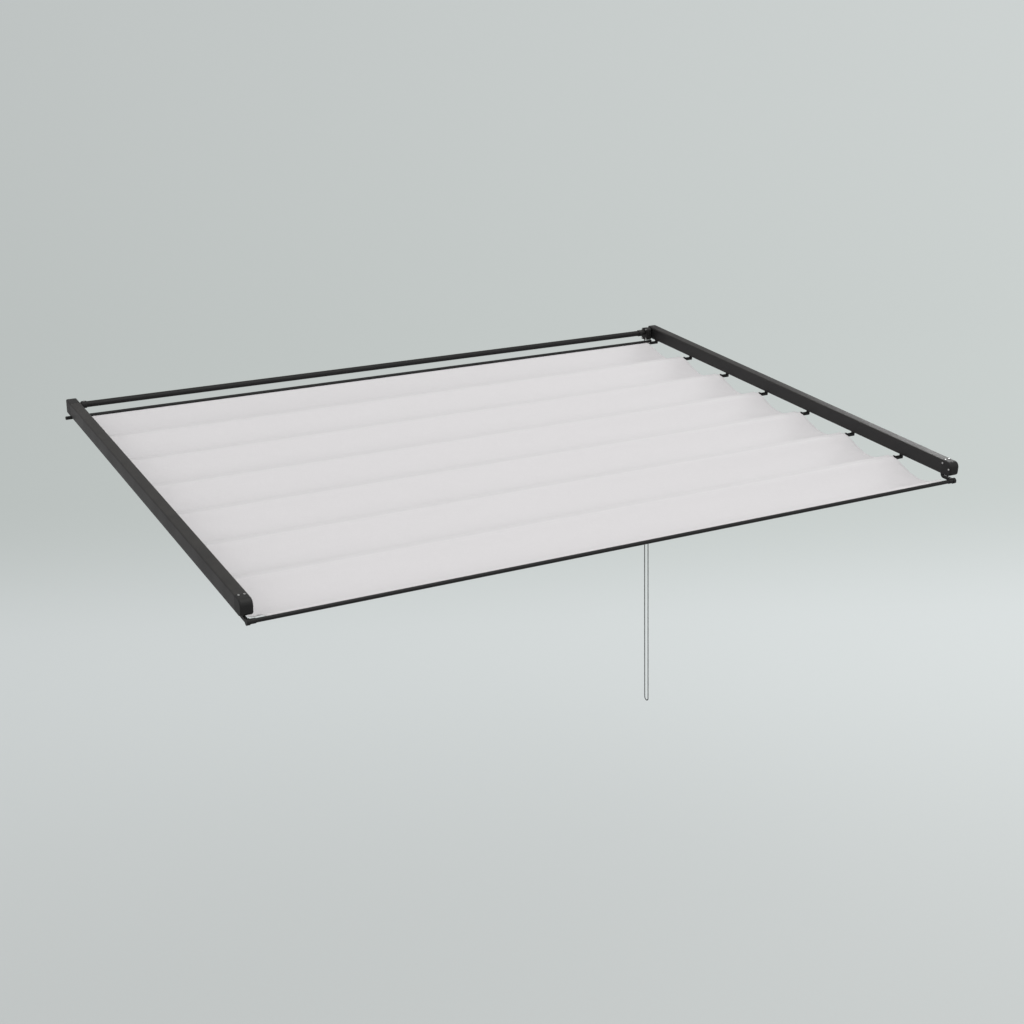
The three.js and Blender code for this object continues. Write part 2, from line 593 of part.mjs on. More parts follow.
// Chain drive: an upright housing round the chain wheel, level with the drive shaft
function housingOutline(wall) {
  const side = HOUSING_SIDE - wall;
  const corner = HOUSING_CORNER - wall;
  const bottom = HOUSING_BOTTOM + wall;
  return outline([
    [-side, bottom], [side, bottom],
    ...arc(side - corner, side - corner, corner, 0, Math.PI / 2, CORNER_STEPS),
    ...arc(corner - side, side - corner, corner, Math.PI / 2, Math.PI, CORNER_STEPS),
  ]);
}

function chainHousing() {
  const coverEnd = HOUSING_INNER_X + HOUSING_WALL + CLEARANCE;
  const neckEnd = INNER_FACE - CLEARANCE;
  const shell = join(
    extrudeAcross(housingOutline(0), coverEnd, HOUSING_OUTER_X),
    rod(NECK_RADIUS, HOUSING_OUTER_X - HOUSING_WALL, neckEnd),
  );
  const hollowEnd = HOUSING_OUTER_X - HOUSING_WALL;
  const holeRadius = CHAIN_RADIUS + CHAIN_HOLE_PLAY;
  const holeLength = 2 * (HOUSING_WALL + CUT_MARGIN);
  const hole = (y) => new THREE.CylinderGeometry(holeRadius, holeRadius, holeLength, TURNED_STEPS)
    .rotateX(Math.PI / 2).translate(CHAIN_X, y, HOUSING_BOTTOM);
  return cut(
    shell,
    extrudeAcross(housingOutline(HOUSING_WALL), coverEnd - CUT_MARGIN, hollowEnd),
    rod(SHAFT_RADIUS + WHEEL_PLAY, hollowEnd - CUT_MARGIN, neckEnd + CUT_MARGIN),
    hole(-CHAIN_WHEEL_PITCH_RADIUS),
    hole(CHAIN_WHEEL_PITCH_RADIUS),
  );
}

function chainCover() {
  const shape = housingOutline(0);
  shape.holes.push(outline(arc(0, 0, SHAFT_RADIUS + WHEEL_PLAY, 0, 2 * Math.PI, TURNED_STEPS)));
  return extrudeAcross(shape, HOUSING_INNER_X, HOUSING_INNER_X + HOUSING_WALL);
}

function chainWheel() {
  const track = CHAIN_RADIUS + CHAIN_PLAY;
  const edge = track + WHEEL_FLANGE;
  const root = CHAIN_WHEEL_PITCH_RADIUS - CHAIN_RADIUS - CLEARANCE;
  const rim = CHAIN_WHEEL_PITCH_RADIUS + WHEEL_RIM;
  const bore = SHAFT_RADIUS + CLEARANCE;
  const hub = bore + WHEEL_HUB_WALL;
  const hubEnd = HOUSING_WIDTH / 2 - HOUSING_WALL - WHEEL_PLAY;
  return turned([
    [hub, -hubEnd], [hub, -edge], [rim, -edge], [rim, -track], [root, -track], [root, track],
    [rim, track], [rim, edge], [hub, edge], [hub, hubEnd], [bore, hubEnd], [bore, -hubEnd],
  ]);
}

// Half a turn of chain round a point on the wheel's plane, over the top or round the bottom
class ChainBend extends THREE.Curve {
  constructor(height, upward) {
    super();
    this.height = height;
    this.upward = upward;
  }

  getPoint(t, target = new THREE.Vector3()) {
    const y = -CHAIN_WHEEL_PITCH_RADIUS * Math.cos(Math.PI * t);
    const z = CHAIN_WHEEL_PITCH_RADIUS * Math.sin(Math.PI * t) * (this.upward ? 1 : -1);
    return target.set(CHAIN_X, y, this.height + z);
  }
}

function chainAlong(path, steps) {
  const section = outline(arc(0, 0, CHAIN_RADIUS, 0, 2 * Math.PI, CHAIN_SIDES));
  return new THREE.ExtrudeGeometry(section, { steps, extrudePath: path, bevelEnabled: false });
}

function chainStrand(y) {
  const top = new THREE.Vector3(CHAIN_X, y, -CLEARANCE);
  const bottom = new THREE.Vector3(CHAIN_X, y, CLEARANCE - CHAIN_DROP);
  return chainAlong(new THREE.LineCurve3(top, bottom), STRAND_STEPS);
}

function addChainDrive(model) {
  const upright = new THREE.Group();
  upright.position.set(0, -SHAFT_Z * Math.sin(SLOPE), SHAFT_Z * Math.cos(SLOPE));
  model.add(upright);
  addPiece(upright, 'chain_housing', chainHousing(), CAST_COVER);
  addPiece(upright, 'chain_cover', chainCover(), CAST_COVER);
  addPiece(upright, 'chain_wheel', chainWheel(), BLACK_PLASTIC, CHAIN_X);
  addPiece(upright, 'hand_chain_top', chainAlong(new ChainBend(0, true), HALF_TURN_STEPS), STEEL);
  addPiece(upright, 'hand_chain_front', chainStrand(-CHAIN_WHEEL_PITCH_RADIUS), STEEL);
  addPiece(upright, 'hand_chain_rear', chainStrand(CHAIN_WHEEL_PITCH_RADIUS), STEEL);
  const bottom = new ChainBend(-CHAIN_DROP, false);
  addPiece(upright, 'hand_chain_bottom', chainAlong(bottom, HALF_TURN_STEPS), STEEL);
}

// The whole roof: the tilted frame, with the chain drive hanging plumb from it
const pergolaRoof = new THREE.Group();
const roof = new THREE.Group();
roof.rotation.x = SLOPE;
pergolaRoof.add(roof);
addRailSide(roof, 'left', -1);
addRailSide(roof, 'right', 1);
addTorqueTube(roof);
addBars(roof);
addFabric(roof);
addChainDrive(pergolaRoof);

export default pergolaRoof;
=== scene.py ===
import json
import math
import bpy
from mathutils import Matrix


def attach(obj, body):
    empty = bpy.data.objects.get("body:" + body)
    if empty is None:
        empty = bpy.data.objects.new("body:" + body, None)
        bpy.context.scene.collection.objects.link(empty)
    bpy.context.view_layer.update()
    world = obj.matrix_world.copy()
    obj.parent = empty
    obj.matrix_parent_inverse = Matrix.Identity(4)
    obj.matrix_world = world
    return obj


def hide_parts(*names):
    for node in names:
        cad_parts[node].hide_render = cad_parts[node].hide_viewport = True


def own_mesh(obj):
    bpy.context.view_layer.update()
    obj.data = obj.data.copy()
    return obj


bl_info = {
    "name": "Retractable Pergola Roof",
    "version": (1, 0, 0),
    "blender": (4, 5, 0),
    "location": "View3D > Sidebar > Roof",
    "description": "Dresses a sliding fabric roof: rails, castings, bars, cloth, chain and studio",
    "category": "Object",
}

from types import SimpleNamespace

import bmesh
import bpy
from bpy.props import FloatProperty, FloatVectorProperty, PointerProperty
from mathutils import Matrix, Vector, noise

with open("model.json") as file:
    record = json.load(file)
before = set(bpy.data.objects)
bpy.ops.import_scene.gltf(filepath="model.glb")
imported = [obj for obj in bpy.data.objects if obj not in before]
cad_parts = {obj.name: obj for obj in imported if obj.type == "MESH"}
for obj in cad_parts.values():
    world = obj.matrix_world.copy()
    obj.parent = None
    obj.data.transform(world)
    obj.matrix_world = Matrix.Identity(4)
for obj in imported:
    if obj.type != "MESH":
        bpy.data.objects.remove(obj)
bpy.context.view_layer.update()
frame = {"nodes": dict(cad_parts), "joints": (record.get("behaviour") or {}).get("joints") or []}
NODES = frame["nodes"]

# The roof's own frame: x across, y along the rails to the rear, z square to the rails
SLIDE = next(joint for joint in frame["joints"] if joint["name"] == "roof_slide")
RAIL_AXIS = Vector(SLIDE["axis"])
ROOF = Matrix.Rotation(math.atan2(RAIL_AXIS.z, RAIL_AXIS.y), 4, "X")
PLUMB = Matrix.Identity(4)
SIDES = {"left": -1, "right": 1}
BARS = range(1, 7)
BAYS = range(1, 8)

# Directions on the right side, which is mirrored for the left one
UPWARD = (0, 0, 1)
INWARD = (-1, 0, 0)
FORWARD = (0, -1, 0)
REARWARD = (0, 1, 0)

# How finely round shapes are cut
SHARP_ANGLE = math.radians(40)
ARC_SEGMENTS = 10
SOFT_SEGMENTS = 4
EDGE_SEGMENTS = 2
TURN_STEPS = 48
MERGE_DISTANCE = 1e-6

# Room between two pieces, and how far a cutter reaches past what it cuts
GAP = 0.0003
CUT_MARGIN = 0.002

# How much of a face's normal lies along an axis: when the face looks that way, and when it doesn't
STRAIGHT = 0.99
ASIDE = 0.5


def node_box(node, tilt=ROOF):
    """Lowest corner, highest corner and centre of a node, along the roof's own axes or upright."""
    level = tilt.inverted()
    places = [level @ vertex.co for vertex in NODES[node].data.vertices]
    low, high = Vector(map(min, zip(*places))), Vector(map(max, zip(*places)))
    return SimpleNamespace(low=low, high=high, centre=(low + high) / 2)


def srgb(red, green, blue):
    """A colour from its 0 to 255 values, as the linear numbers that a shader takes."""
    shares = [value / 255 for value in (red, green, blue)]
    return [share / 12.92 if share < 0.04045 else ((share + 0.055) / 1.055) ** 2.4
            for share in shares]


# Settings
def length(name, default, description):
    return FloatProperty(name=name, description=description, default=default, min=0, unit="LENGTH")


def power(name, default, description):
    return FloatProperty(name=name, description=description, default=default, min=0, unit="POWER")


def amount(name, default, description):
    return FloatProperty(name=name, description=description, default=default)


def colour(name, default, description):
    return FloatVectorProperty(name=name, description=description, default=default,
                               subtype="COLOR", min=0, max=1)


class RoofSizes(bpy.types.PropertyGroup):
    rail_corner: length("Rail corner", 0.008, "Radius of the rails' top corners")
    rail_wall: length("Rail wall", 0.0025, "Wall of the rails")
    slot_width: length("Slot width", 0.018, "Slot along the underside of the rails")
    casting_wall: length("Casting wall", 0.003, "Wall of the caps, heads and chain housing")
    nose_upper: length("Nose's upper radius", 0.03, "Round top of the front caps")
    nose_lower: length("Nose's lower radius", 0.018, "Round lower edge of the front caps")
    head_lower: length("Head's lower corner", 0.016, "Round lower rear edge of the drive heads")
    edge_softness: length("Edge softness", 0.0007, "Width of the broken edges")
    bar_wall: length("Bar wall", 0.0015, "Wall of the cross bars")
    tube_wall: length("Tube wall", 0.002, "Wall of the torque tube")
    shaft_bore: length("Shaft bore", 0.0088, "Radius of the hole round the drive shaft")
    bush_bore: length("Bush bore", 0.0126, "Radius of the hole for the shaft's bush")
    hub_length: length("Hub length", 0.017, "Thin part of a coupling, on the stub shaft")
    hub_radius: length("Hub radius", 0.0148, "Radius of a coupling's thin part")
    glider_tail: length("Lead glider tail", 0.032, "Lead carriage's glider behind its stem")
    glider_nose: length("Lead glider nose", 0.008, "Lead carriage's glider in front of its stem")
    glider_height: length("Glider height", 0.01, "Height of the gliders in the rails")
    stem_length: length("Stem length", 0.014, "Stem of a hook or carriage, along the rail")
    stem_width: length("Stem width", 0.014, "Stem of a hook or carriage, across the rail")
    arm_depth: length("Arm depth", 0.017, "Thickness of the arms that hold the front bar")
    arm_bend: length("Arm bend", 0.005, "Radius inside the bend of the arms")
    foot_length: length("Foot length", 0.018, "Foot of a hook, along the rail")
    foot_height: length("Foot height", 0.016, "Foot of a hook, under the bar")
    cheek_width: length("Cheek width", 0.012, "Upright part of a hook's foot")
    hook_softness: length("Hook softness", 0.0022, "Rounding of the hooks' feet")
    plate_width: length("Plate width", 0.044, "Plate of a rear hanger, across the rail")
    plate_length: length("Plate length", 0.024, "Plate of a rear hanger, along the rail")
    plate_height: length("Plate height", 0.004, "Thickness of a rear hanger's plate")
    screw_radius: length("Screw radius", 0.0052, "Radius of the screw heads")
    screw_height: length("Screw height", 0.0022, "Height of the screw heads")


class ChainSizes(bpy.types.PropertyGroup):
    diameter: length("Chain diameter", 0.008, "Diameter over the beads")
    pitch: length("Bead pitch", 0.0083, "From bead to bead")
    link: length("Link diameter", 0.0034, "Diameter of the wire between two beads")
    hole_play: length("Hole play", 0.002, "Round the chain, in the holes of its housing")


class ClothSizes(bpy.types.PropertyGroup):
    thickness: length("Thickness", 0.0012, "Thickness of the cloth")
    hem: length("Hem width", 0.026, "Double hem along each side")
    crest_share: amount("Crest share", 0.18, "Part of a half bay that is rounded over its bar")
    calm_share: amount("Calm share", 0.2, "Part of a half bay beside its bar that lies smooth")
    spread: length("Spread", 0.012, "How far the side edges stand out between two bars")
    corner_pull: length("Corner pull", 0.036, "How far the side edges pull in again at the bars")
    rear_drop: length("Rear drop", 0.006, "Cloth's rear edge below the middle of the rear bar")
    slack: length("Slack", 0.004, "Height of the broad unevenness")
    pucker: length("Pucker", 0.0016, "Height of the small gathers beside hems and seams")
    stitch: length("Stitch length", 0.0045, "From stitch to stitch")
    seam_place: length("Seam place", 0.014, "From the top of a bar to its pocket's seam")
    thread: length("Weave pitch", 0.0013, "From thread to thread in the weave")


class Finishes(bpy.types.PropertyGroup):
    rail_coat: colour("Rail coat", srgb(31, 30, 30), "Powder coat of the rails")
    casting_coat: colour("Casting coat", srgb(26, 26, 26), "Coat of caps, heads, arms and housing")
    bar_coat: colour("Bar coat", srgb(22, 22, 22), "Powder coat of the bars and the torque tube")
    black_plastic: colour("Black plastic", srgb(12, 12, 12), "Hooks, hangers and pulleys")
    plated_steel: colour("Plated steel", srgb(204, 204, 203), "Screws and shafts")
    chain_steel: colour("Chain steel", srgb(62, 63, 64), "Burnished beads and wire of the chain")
    belt_rubber: colour("Belt rubber", srgb(24, 24, 24), "Belts in the rails")
    cloth: colour("Cloth", srgb(221, 219, 220), "Canopy cloth")
    stitching: colour("Stitching", srgb(232, 231, 230), "Sewing thread")
    # Lighter colour on faces that look up: thin dust, and also painted light from above on the tops
    dust_and_lit_tops: colour("Dust and Lit Tops", srgb(150, 146, 138), "Thin dust on faces that look up")


class StageSettings(bpy.types.PropertyGroup):
    floor_drop: length("Floor drop", 3.0, "From the rail tops at the rear down to the floor")
    wall_distance: length("Wall distance", 15.2, "From the camera's foot forward to the wall")
    cove_radius: length("Cove radius", 2.2, "Round cove between floor and wall")
    # These tones and the side levels paint light and shade onto the cove: darker near the camera,
    # lighter in front of the wall
    floor_near: colour("Near floor", srgb(193, 197, 196), "Floor close to the camera")
    floor_far: colour("Far floor", srgb(210, 215, 215), "Floor in front of the wall")
    wall_low: colour("Low wall", srgb(193, 199, 197), "Wall above the cove")
    wall_high: colour("High wall", srgb(197, 202, 201), "Wall at the top of the view")
    air: colour("Air", srgb(186, 186, 186), "What the cove sends back to the roof's surfaces")
    sky_strength: amount("Sky strength", 0.86, "Even light from all round")
    overhead_power: power("Overhead power", 156, "Broad soft lamp above the front")
    rim_power: power("Rim power", 56, "Soft lamp behind the right side, for the rails' sheen")


def sizes():
    return bpy.context.scene.roof_sizes


def finishes():
    return bpy.context.scene.roof_finishes


# Mesh work
def vertices_in(geometry):
    return [item for item in geometry if isinstance(item, bmesh.types.BMVert)]


def edges_in(geometry):
    return [item for item in geometry if isinstance(item, bmesh.types.BMEdge)]


def bevel(mesh, geometry, offset, segments=SOFT_SEGMENTS, affect="EDGES"):
    bmesh.ops.bevel(mesh, geom=geometry, offset=offset, offset_type="OFFSET", affect=affect,
                    segments=segments, profile=0.5, material=-1)


def profile(points, rounds=None):
    """One face through the points; rounds gives the radius at the corners that are arcs."""
    mesh = bmesh.new()
    corners = [mesh.verts.new(point) for point in points]
    mesh.faces.new(corners)
    for index, radius in (rounds or {}).items():
        bevel(mesh, [corners[index]], radius, ARC_SEGMENTS, "VERTICES")
    return mesh


def pull(mesh, way):
    """The profile pulled out into a solid."""
    pulled = bmesh.ops.extrude_face_region(mesh, geom=mesh.faces[:])["geom"]
    bmesh.ops.translate(mesh, vec=way, verts=vertices_in(pulled))
    bmesh.ops.recalc_face_normals(mesh, faces=mesh.faces)
    return mesh


def side_profile(x, width, outline, rounds=None):
    """A solid from (y, z) points seen from the side, from x onwards across the roof."""
    return pull(profile([(x, y, z) for y, z in outline], rounds), (width, 0, 0))


LOW_FRONT, LOW_REAR, HIGH_REAR, HIGH_FRONT = range(4)  # corners of a rectangle


def rectangle(low, high):
    """Outline of a box seen from the side, from its low front corner round by the rear."""
    return [(low.y, low.z), (high.y, low.z), (high.y, high.z), (low.y, high.z)]


def block(low, high, softness=0):
    mesh = bmesh.new()
    bmesh.ops.create_cube(mesh, size=1)
    low, high = Vector(low), Vector(high)
    bmesh.ops.scale(mesh, vec=high - low, verts=mesh.verts)
    bmesh.ops.translate(mesh, vec=(low + high) / 2, verts=mesh.verts)
    if softness:
        bevel(mesh, mesh.edges[:], softness)
    return mesh


def facing(way, up="X"):
    """A turn that sets Z along a direction."""
    return Vector(way).to_track_quat("Z", up).to_matrix().to_4x4()


def rod(radius, start, end):
    """A round rod from one point to another."""
    start, end = Vector(start), Vector(end)
    place = Matrix.Translation((start + end) / 2) @ facing(end - start)
    mesh = bmesh.new()
    bmesh.ops.create_cone(mesh, cap_ends=True, segments=TURN_STEPS, radius1=radius, radius2=radius,
                          depth=(end - start).length, matrix=place)
    return mesh


def cross_rod(radius, left, right, centre):
    """A round rod across the roof, through a centre seen from the side."""
    return rod(radius, (left, centre.y, centre.z), (right, centre.y, centre.z))


def turned(section, centre):
    """A closed section of (radius, x) points, spun about a line along X through centre."""
    mesh = bmesh.new()
    points = [mesh.verts.new((x, centre.y, centre.z + radius)) for radius, x in section]
    edges = [mesh.edges.new(pair) for pair in zip(points, points[1:] + points[:1])]
    bmesh.ops.spin(mesh, geom=points + edges, cent=centre, axis=(1, 0, 0), angle=2 * math.pi,
                   steps=TURN_STEPS, use_merge=True)
    bmesh.ops.remove_doubles(mesh, verts=mesh.verts, dist=MERGE_DISTANCE)
    bmesh.ops.recalc_face_normals(mesh, faces=mesh.faces)
    return mesh


def tube(radius, wall, left, right, centre):
    bore = radius - wall
    return turned([(radius, left), (radius, right), (bore, right), (bore, left)], centre)


def round_over(mesh, accept, radius):
    """Rounds the edges between a side face and the faces whose normals are accepted."""
    def chosen(edge):
        normals = [face.normal for face in edge.link_faces]
        on_side = any(abs(normal.x) > STRAIGHT for normal in normals)
        return on_side and any(abs(normal.x) < ASIDE and accept(normal) for normal in normals)
    bevel(mesh, [edge for edge in mesh.edges if chosen(edge)], radius, ARC_SEGMENTS)


def hollow(mesh, open_side, wall):
    """Makes the solid a shell, with the face that looks to open_side taken out."""
    lost = [face for face in mesh.faces if face.normal.dot(Vector(open_side)) > STRAIGHT]
    bmesh.ops.delete(mesh, geom=lost, context="FACES")
    bmesh.ops.recalc_face_normals(mesh, faces=mesh.faces)
    bmesh.ops.solidify(mesh, geom=mesh.faces[:], thickness=wall)


def new_object(name, mesh):
    """An object in the scene, made of a mesh that is used up by it."""
    data = bpy.data.meshes.new(name)
    mesh.to_mesh(data)
    mesh.free()
    thing = bpy.data.objects.new(name, data)
    bpy.context.scene.collection.objects.link(thing)
    return thing


def combine(operation, mesh, *others):
    """The mesh with the other solids joined to it or cut out of it."""
    things = [new_object("loose", item) for item in (mesh, *others)]
    for tool in things[1:]:
        modifier = things[0].modifiers.new("combine", "BOOLEAN")
        modifier.operation = operation
        modifier.solver = "EXACT"
        modifier.object = tool
    result = bmesh.new()
    result.from_object(things[0], bpy.context.evaluated_depsgraph_get())
    for thing in things:
        data = thing.data
        bpy.data.objects.remove(thing)
        bpy.data.meshes.remove(data)
    bmesh.ops.remove_doubles(result, verts=result.verts, dist=MERGE_DISTANCE)
    return result


def copy_at(mesh, *places):
    """Copies of a mesh in one new mesh, one at each matrix."""
    data = bpy.data.meshes.new("copies")
    mesh.to_mesh(data)
    mesh.free()
    result = bmesh.new()
    for place in places:
        before = len(result.verts)
        result.from_mesh(data)
        result.verts.ensure_lookup_table()
        for vertex in result.verts[before:]:
            vertex.co = place @ vertex.co
    bpy.data.meshes.remove(data)
    result.normal_update()
    return result


def add_piece(name, mesh, finish, body, nodes=(), side=1, tilt=ROOF, softness=0.0):
    """Sets a mesh in its place, mirrored for the left side, and lets it ride on its body."""
    if side < 0:
        bmesh.ops.scale(mesh, vec=(-1, 1, 1), verts=mesh.verts)
        bmesh.ops.reverse_faces(mesh, faces=mesh.faces)
    bmesh.ops.transform(mesh, matrix=tilt, verts=mesh.verts)
    for face in mesh.faces:
        face.smooth = True
    for edge in mesh.edges:
        edge.smooth = not edge.is_boundary and edge.calc_face_angle(0) < SHARP_ANGLE
    piece = new_object(name, mesh)
    if softness:
        edges = piece.modifiers.new("Soft edges", "BEVEL")
        edges.width = softness
        edges.segments = EDGE_SEGMENTS
        edges.limit_method = "ANGLE"
        edges.angle_limit = SHARP_ANGLE
        edges.harden_normals = True
    dress(piece, finish)
    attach(piece, body)
    if nodes:
        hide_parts(*nodes)
    return piece


# Shader work
MIX_SHARE, MIX_FIRST, MIX_SECOND, MIX_RESULT = 0, 6, 7, 2  # a Mix node's sockets for colours


def link_or_set(tree, socket, value):
    if isinstance(value, bpy.types.NodeSocket):
        tree.links.new(value, socket)
    else:
        socket.default_value = value


def add_node(tree, kind, inputs=None, **options):
    node = tree.nodes.new(kind)
    for name, value in options.items():
        setattr(node, name, value)
    for name, value in (inputs or {}).items():
        link_or_set(tree, node.inputs[name], value)
    return node


def reckon(tree, operation, *values):
    """A Math node's result."""
    node = add_node(tree, "ShaderNodeMath", dict(enumerate(values)), operation=operation)
    return node.outputs[0]


def mix_colours(tree, share, first, second):
    sockets = {MIX_SHARE: share, MIX_FIRST: first, MIX_SECOND: second}
    return add_node(tree, "ShaderNodeMix", sockets, data_type="RGBA").outputs[MIX_RESULT]


def object_place(tree):
    return add_node(tree, "ShaderNodeTexCoord").outputs["Object"]


def cloud(tree, place, scale, detail):
    inputs = {"Vector": place, "Scale": scale, "Detail": detail}
    return add_node(tree, "ShaderNodeTexNoise", inputs).outputs["Fac"]


def opaque(tone):
    return (*tone, 1)


def shade_of(tone, factor):
    """A colour made lighter or darker."""
    return opaque(min(1, part * factor) for part in tone)


def use_group(tree, fill, values):
    """Outputs of a shared node group in a material. The group is built on its first use."""
    name, defaults = GROUPS[fill]
    group = bpy.data.node_groups.get(name) or new_group(name, defaults, fill)
    return add_node(tree, "ShaderNodeGroup", values, node_tree=group).outputs


def new_group(name, defaults, fill):
    """A node group with number sockets: its inputs have defaults, and fill gives its outputs."""
    group = bpy.data.node_groups.new(name, "ShaderNodeTree")
    new_socket = group.interface.new_socket
    for label, default in defaults.items():
        socket = new_socket(label, in_out="INPUT", socket_type="NodeSocketFloat")
        socket.default_value = default
    results = fill(group, group.nodes.new("NodeGroupInput").outputs)
    for label in results:
        new_socket(label, in_out="OUTPUT", socket_type="NodeSocketFloat")
    sink = group.nodes.new("NodeGroupOutput").inputs
    for label, result in results.items():
        group.links.new(result, sink[label])
    return group


def surface_grain(tree, source):
    """Fine grain for bumps, and slow cloudy blotches for tone and gloss."""
    place = object_place(tree)
    return {"Grain": cloud(tree, place, source["Grain Scale"], detail=2.0),
            "Blotch": cloud(tree, place, source["Blotch Scale"], detail=4.0)}


def dust_and_lit_tops_mask(tree, source):
    """A mask for thin dust on faces that look up, which also stands for painted light: it lightens
    the tops as if lit from above.
    """
    normal = add_node(tree, "ShaderNodeNewGeometry").outputs["Normal"]
    upward = add_node(tree, "ShaderNodeSeparateXYZ", {"Vector": normal}).outputs["Z"]
    lying = reckon(tree, "MULTIPLY", reckon(tree, "MAXIMUM", upward, 0.0), source["Amount"])
    patches = cloud(tree, object_place(tree), source["Patch Scale"], detail=6.0)
    return {"Dust and Lit Tops": reckon(tree, "MULTIPLY", lying, patches)}


def stitch_row(tree, source):
    """A mask of dashes along one straight row of sewing."""
    offset = reckon(tree, "ABSOLUTE", reckon(tree, "SUBTRACT", source["Across"], source["Place"]))
    in_row = reckon(tree, "LESS_THAN", offset, source["Half Width"])
    step = reckon(tree, "FRACT", reckon(tree, "DIVIDE", source["Along"], source["Stitch"]))
    in_dash = reckon(tree, "LESS_THAN", step, source["Dash Share"])
    return {"Mask": reckon(tree, "MULTIPLY", in_row, in_dash)}


SLUB_LONG, SLUB_SHORT = 18.0, 420.0  # scale of the slubs along their thread and across it


def plain_weave(tree, source):
    """Threads that pass over and under each other, with slubs along both ways of the cloth."""
    turns = reckon(tree, "DIVIDE", 2 * math.pi, source["Pitch"])
    warp, weft = [reckon(tree, "SINE", reckon(tree, "MULTIPLY", source[way], turns))
                  for way in ("Across", "Along")]
    place = add_node(tree, "ShaderNodeCombineXYZ", {"X": source["Across"], "Y": source["Along"]})
    slubs = []
    for stretch in ((SLUB_LONG, SLUB_SHORT, 1.0), (SLUB_SHORT, SLUB_LONG, 1.0)):
        inputs = {"Vector": place.outputs[0], "Scale": stretch}
        stretched = add_node(tree, "ShaderNodeMapping", inputs).outputs[0]
        slubs.append(cloud(tree, stretched, scale=1.0, detail=3.0))
    mean_slub = reckon(tree, "MULTIPLY", reckon(tree, "ADD", *slubs), 0.5)
    return {"Height": reckon(tree, "MULTIPLY", warp, weft), "Slub": mean_slub}


# Names of the shared node groups, and their inputs' defaults
GROUPS = {
    surface_grain: ("Surface grain", {"Grain Scale": 900.0, "Blotch Scale": 6.0}),
    dust_and_lit_tops_mask: ("Settled dust and lit tops", {"Amount": 0.1, "Patch Scale": 14.0}),
    stitch_row: ("Stitch row", {"Across": 0.0, "Along": 0.0, "Place": 0.01, "Half Width": 0.0007,
                                "Stitch": 0.004, "Dash Share": 0.68}),
    plain_weave: ("Plain weave", {"Across": 0.0, "Along": 0.0, "Pitch": 0.0013}),
}


def new_material(name):
    """A material with only its Principled shader, its node tree and that shader's inputs."""
    material = bpy.data.materials.new(name)
    material.use_nodes = True
    return material, material.node_tree, material.node_tree.nodes["Principled BSDF"].inputs


def bump(tree, height, depth):
    inputs = {"Height": height, "Distance": depth, "Strength": 1.0}
    return add_node(tree, "ShaderNodeBump", inputs).outputs["Normal"]


def fill_shader(tree, shader, values):
    for name, value in values.items():
        link_or_set(tree, shader[name], value)


def between_shades(tree, share, tone, shades):
    """A tone that wanders between a darker and a lighter shade of itself."""
    return mix_colours(tree, share, *[shade_of(tone, factor) for factor in shades])


COAT_SHADES = (0.9, 1.1)
COAT_GLOSS_SPREAD = 0.16


def coated(name, tone, grain, depth, gloss, dust_and_lit_tops, mirror):
    """Satin powder coat, or grained plastic: orange peel, cloudy gloss, and a little dust on top
    that is also painted light on the faces that look up.
    """
    material, tree, shader = new_material(name)
    surface = use_group(tree, surface_grain, {"Grain Scale": grain})
    # Dust on faces that look up, which also paints light onto their tops
    dust_and_lit_top_share = use_group(tree, dust_and_lit_tops_mask, {"Amount": dust_and_lit_tops})["Dust and Lit Tops"]
    clouded = between_shades(tree, surface["Blotch"], tone, COAT_SHADES)
    cloudy = reckon(tree, "MULTIPLY_ADD", surface["Blotch"], COAT_GLOSS_SPREAD,
                    gloss - COAT_GLOSS_SPREAD / 2)
    fill_shader(tree, shader, {
        "Base Color": mix_colours(tree, dust_and_lit_top_share, clouded, opaque(finishes().dust_and_lit_tops)),
        "Roughness": reckon(tree, "ADD", cloudy, dust_and_lit_top_share),
        "Normal": bump(tree, surface["Grain"], depth),
        "Specular IOR Level": mirror,
    })
    return material


def rail_coat():
    # The rails get the most dust, which also paints their tops lighter than their sides as painted
    # light
    return coated("Rail powder coat", finishes().rail_coat, grain=1100.0, depth=0.00006,
                  gloss=0.42, dust_and_lit_tops=0.12, mirror=0.29)


def casting_coat():
    return coated("Casting powder coat", finishes().casting_coat, grain=800.0, depth=0.00009,
                  gloss=0.5, dust_and_lit_tops=0.05, mirror=0.3)


def bar_coat():
    return coated("Bar powder coat", finishes().bar_coat, grain=1100.0, depth=0.00006,
                  gloss=0.46, dust_and_lit_tops=0.03, mirror=0.28)


def black_plastic():
    return coated("Grained black plastic", finishes().black_plastic, grain=1700.0, depth=0.00008,
                  gloss=0.52, dust_and_lit_tops=0.02, mirror=0.3)


def belt_rubber():
    return coated("Belt rubber", finishes().belt_rubber, grain=2200.0, depth=0.00012,
                  gloss=0.78, dust_and_lit_tops=0.0, mirror=0.5)


METAL_GRAIN = {"Grain Scale": 2600.0, "Blotch Scale": 60.0}
METAL_SHADES = (0.82, 1.12)
METAL_GLOSS, METAL_GLOSS_SPREAD = 0.2, 0.2
METAL_GRAIN_DEPTH = 0.00002


def bare_metal(name, tone):
    """Metal with soft cloudy gloss."""
    material, tree, shader = new_material(name)
    surface = use_group(tree, surface_grain, METAL_GRAIN)
    blotch = surface["Blotch"]
    fill_shader(tree, shader, {
        "Base Color": between_shades(tree, blotch, tone, METAL_SHADES),
        "Metallic": 1.0,
        "Roughness": reckon(tree, "MULTIPLY_ADD", blotch, METAL_GLOSS_SPREAD, METAL_GLOSS),
        "Normal": bump(tree, surface["Grain"], METAL_GRAIN_DEPTH),
    })
    return material


def plated_steel():
    return bare_metal("Plated steel", finishes().plated_steel)


def chain_steel():
    return bare_metal("Chain steel", finishes().chain_steel)


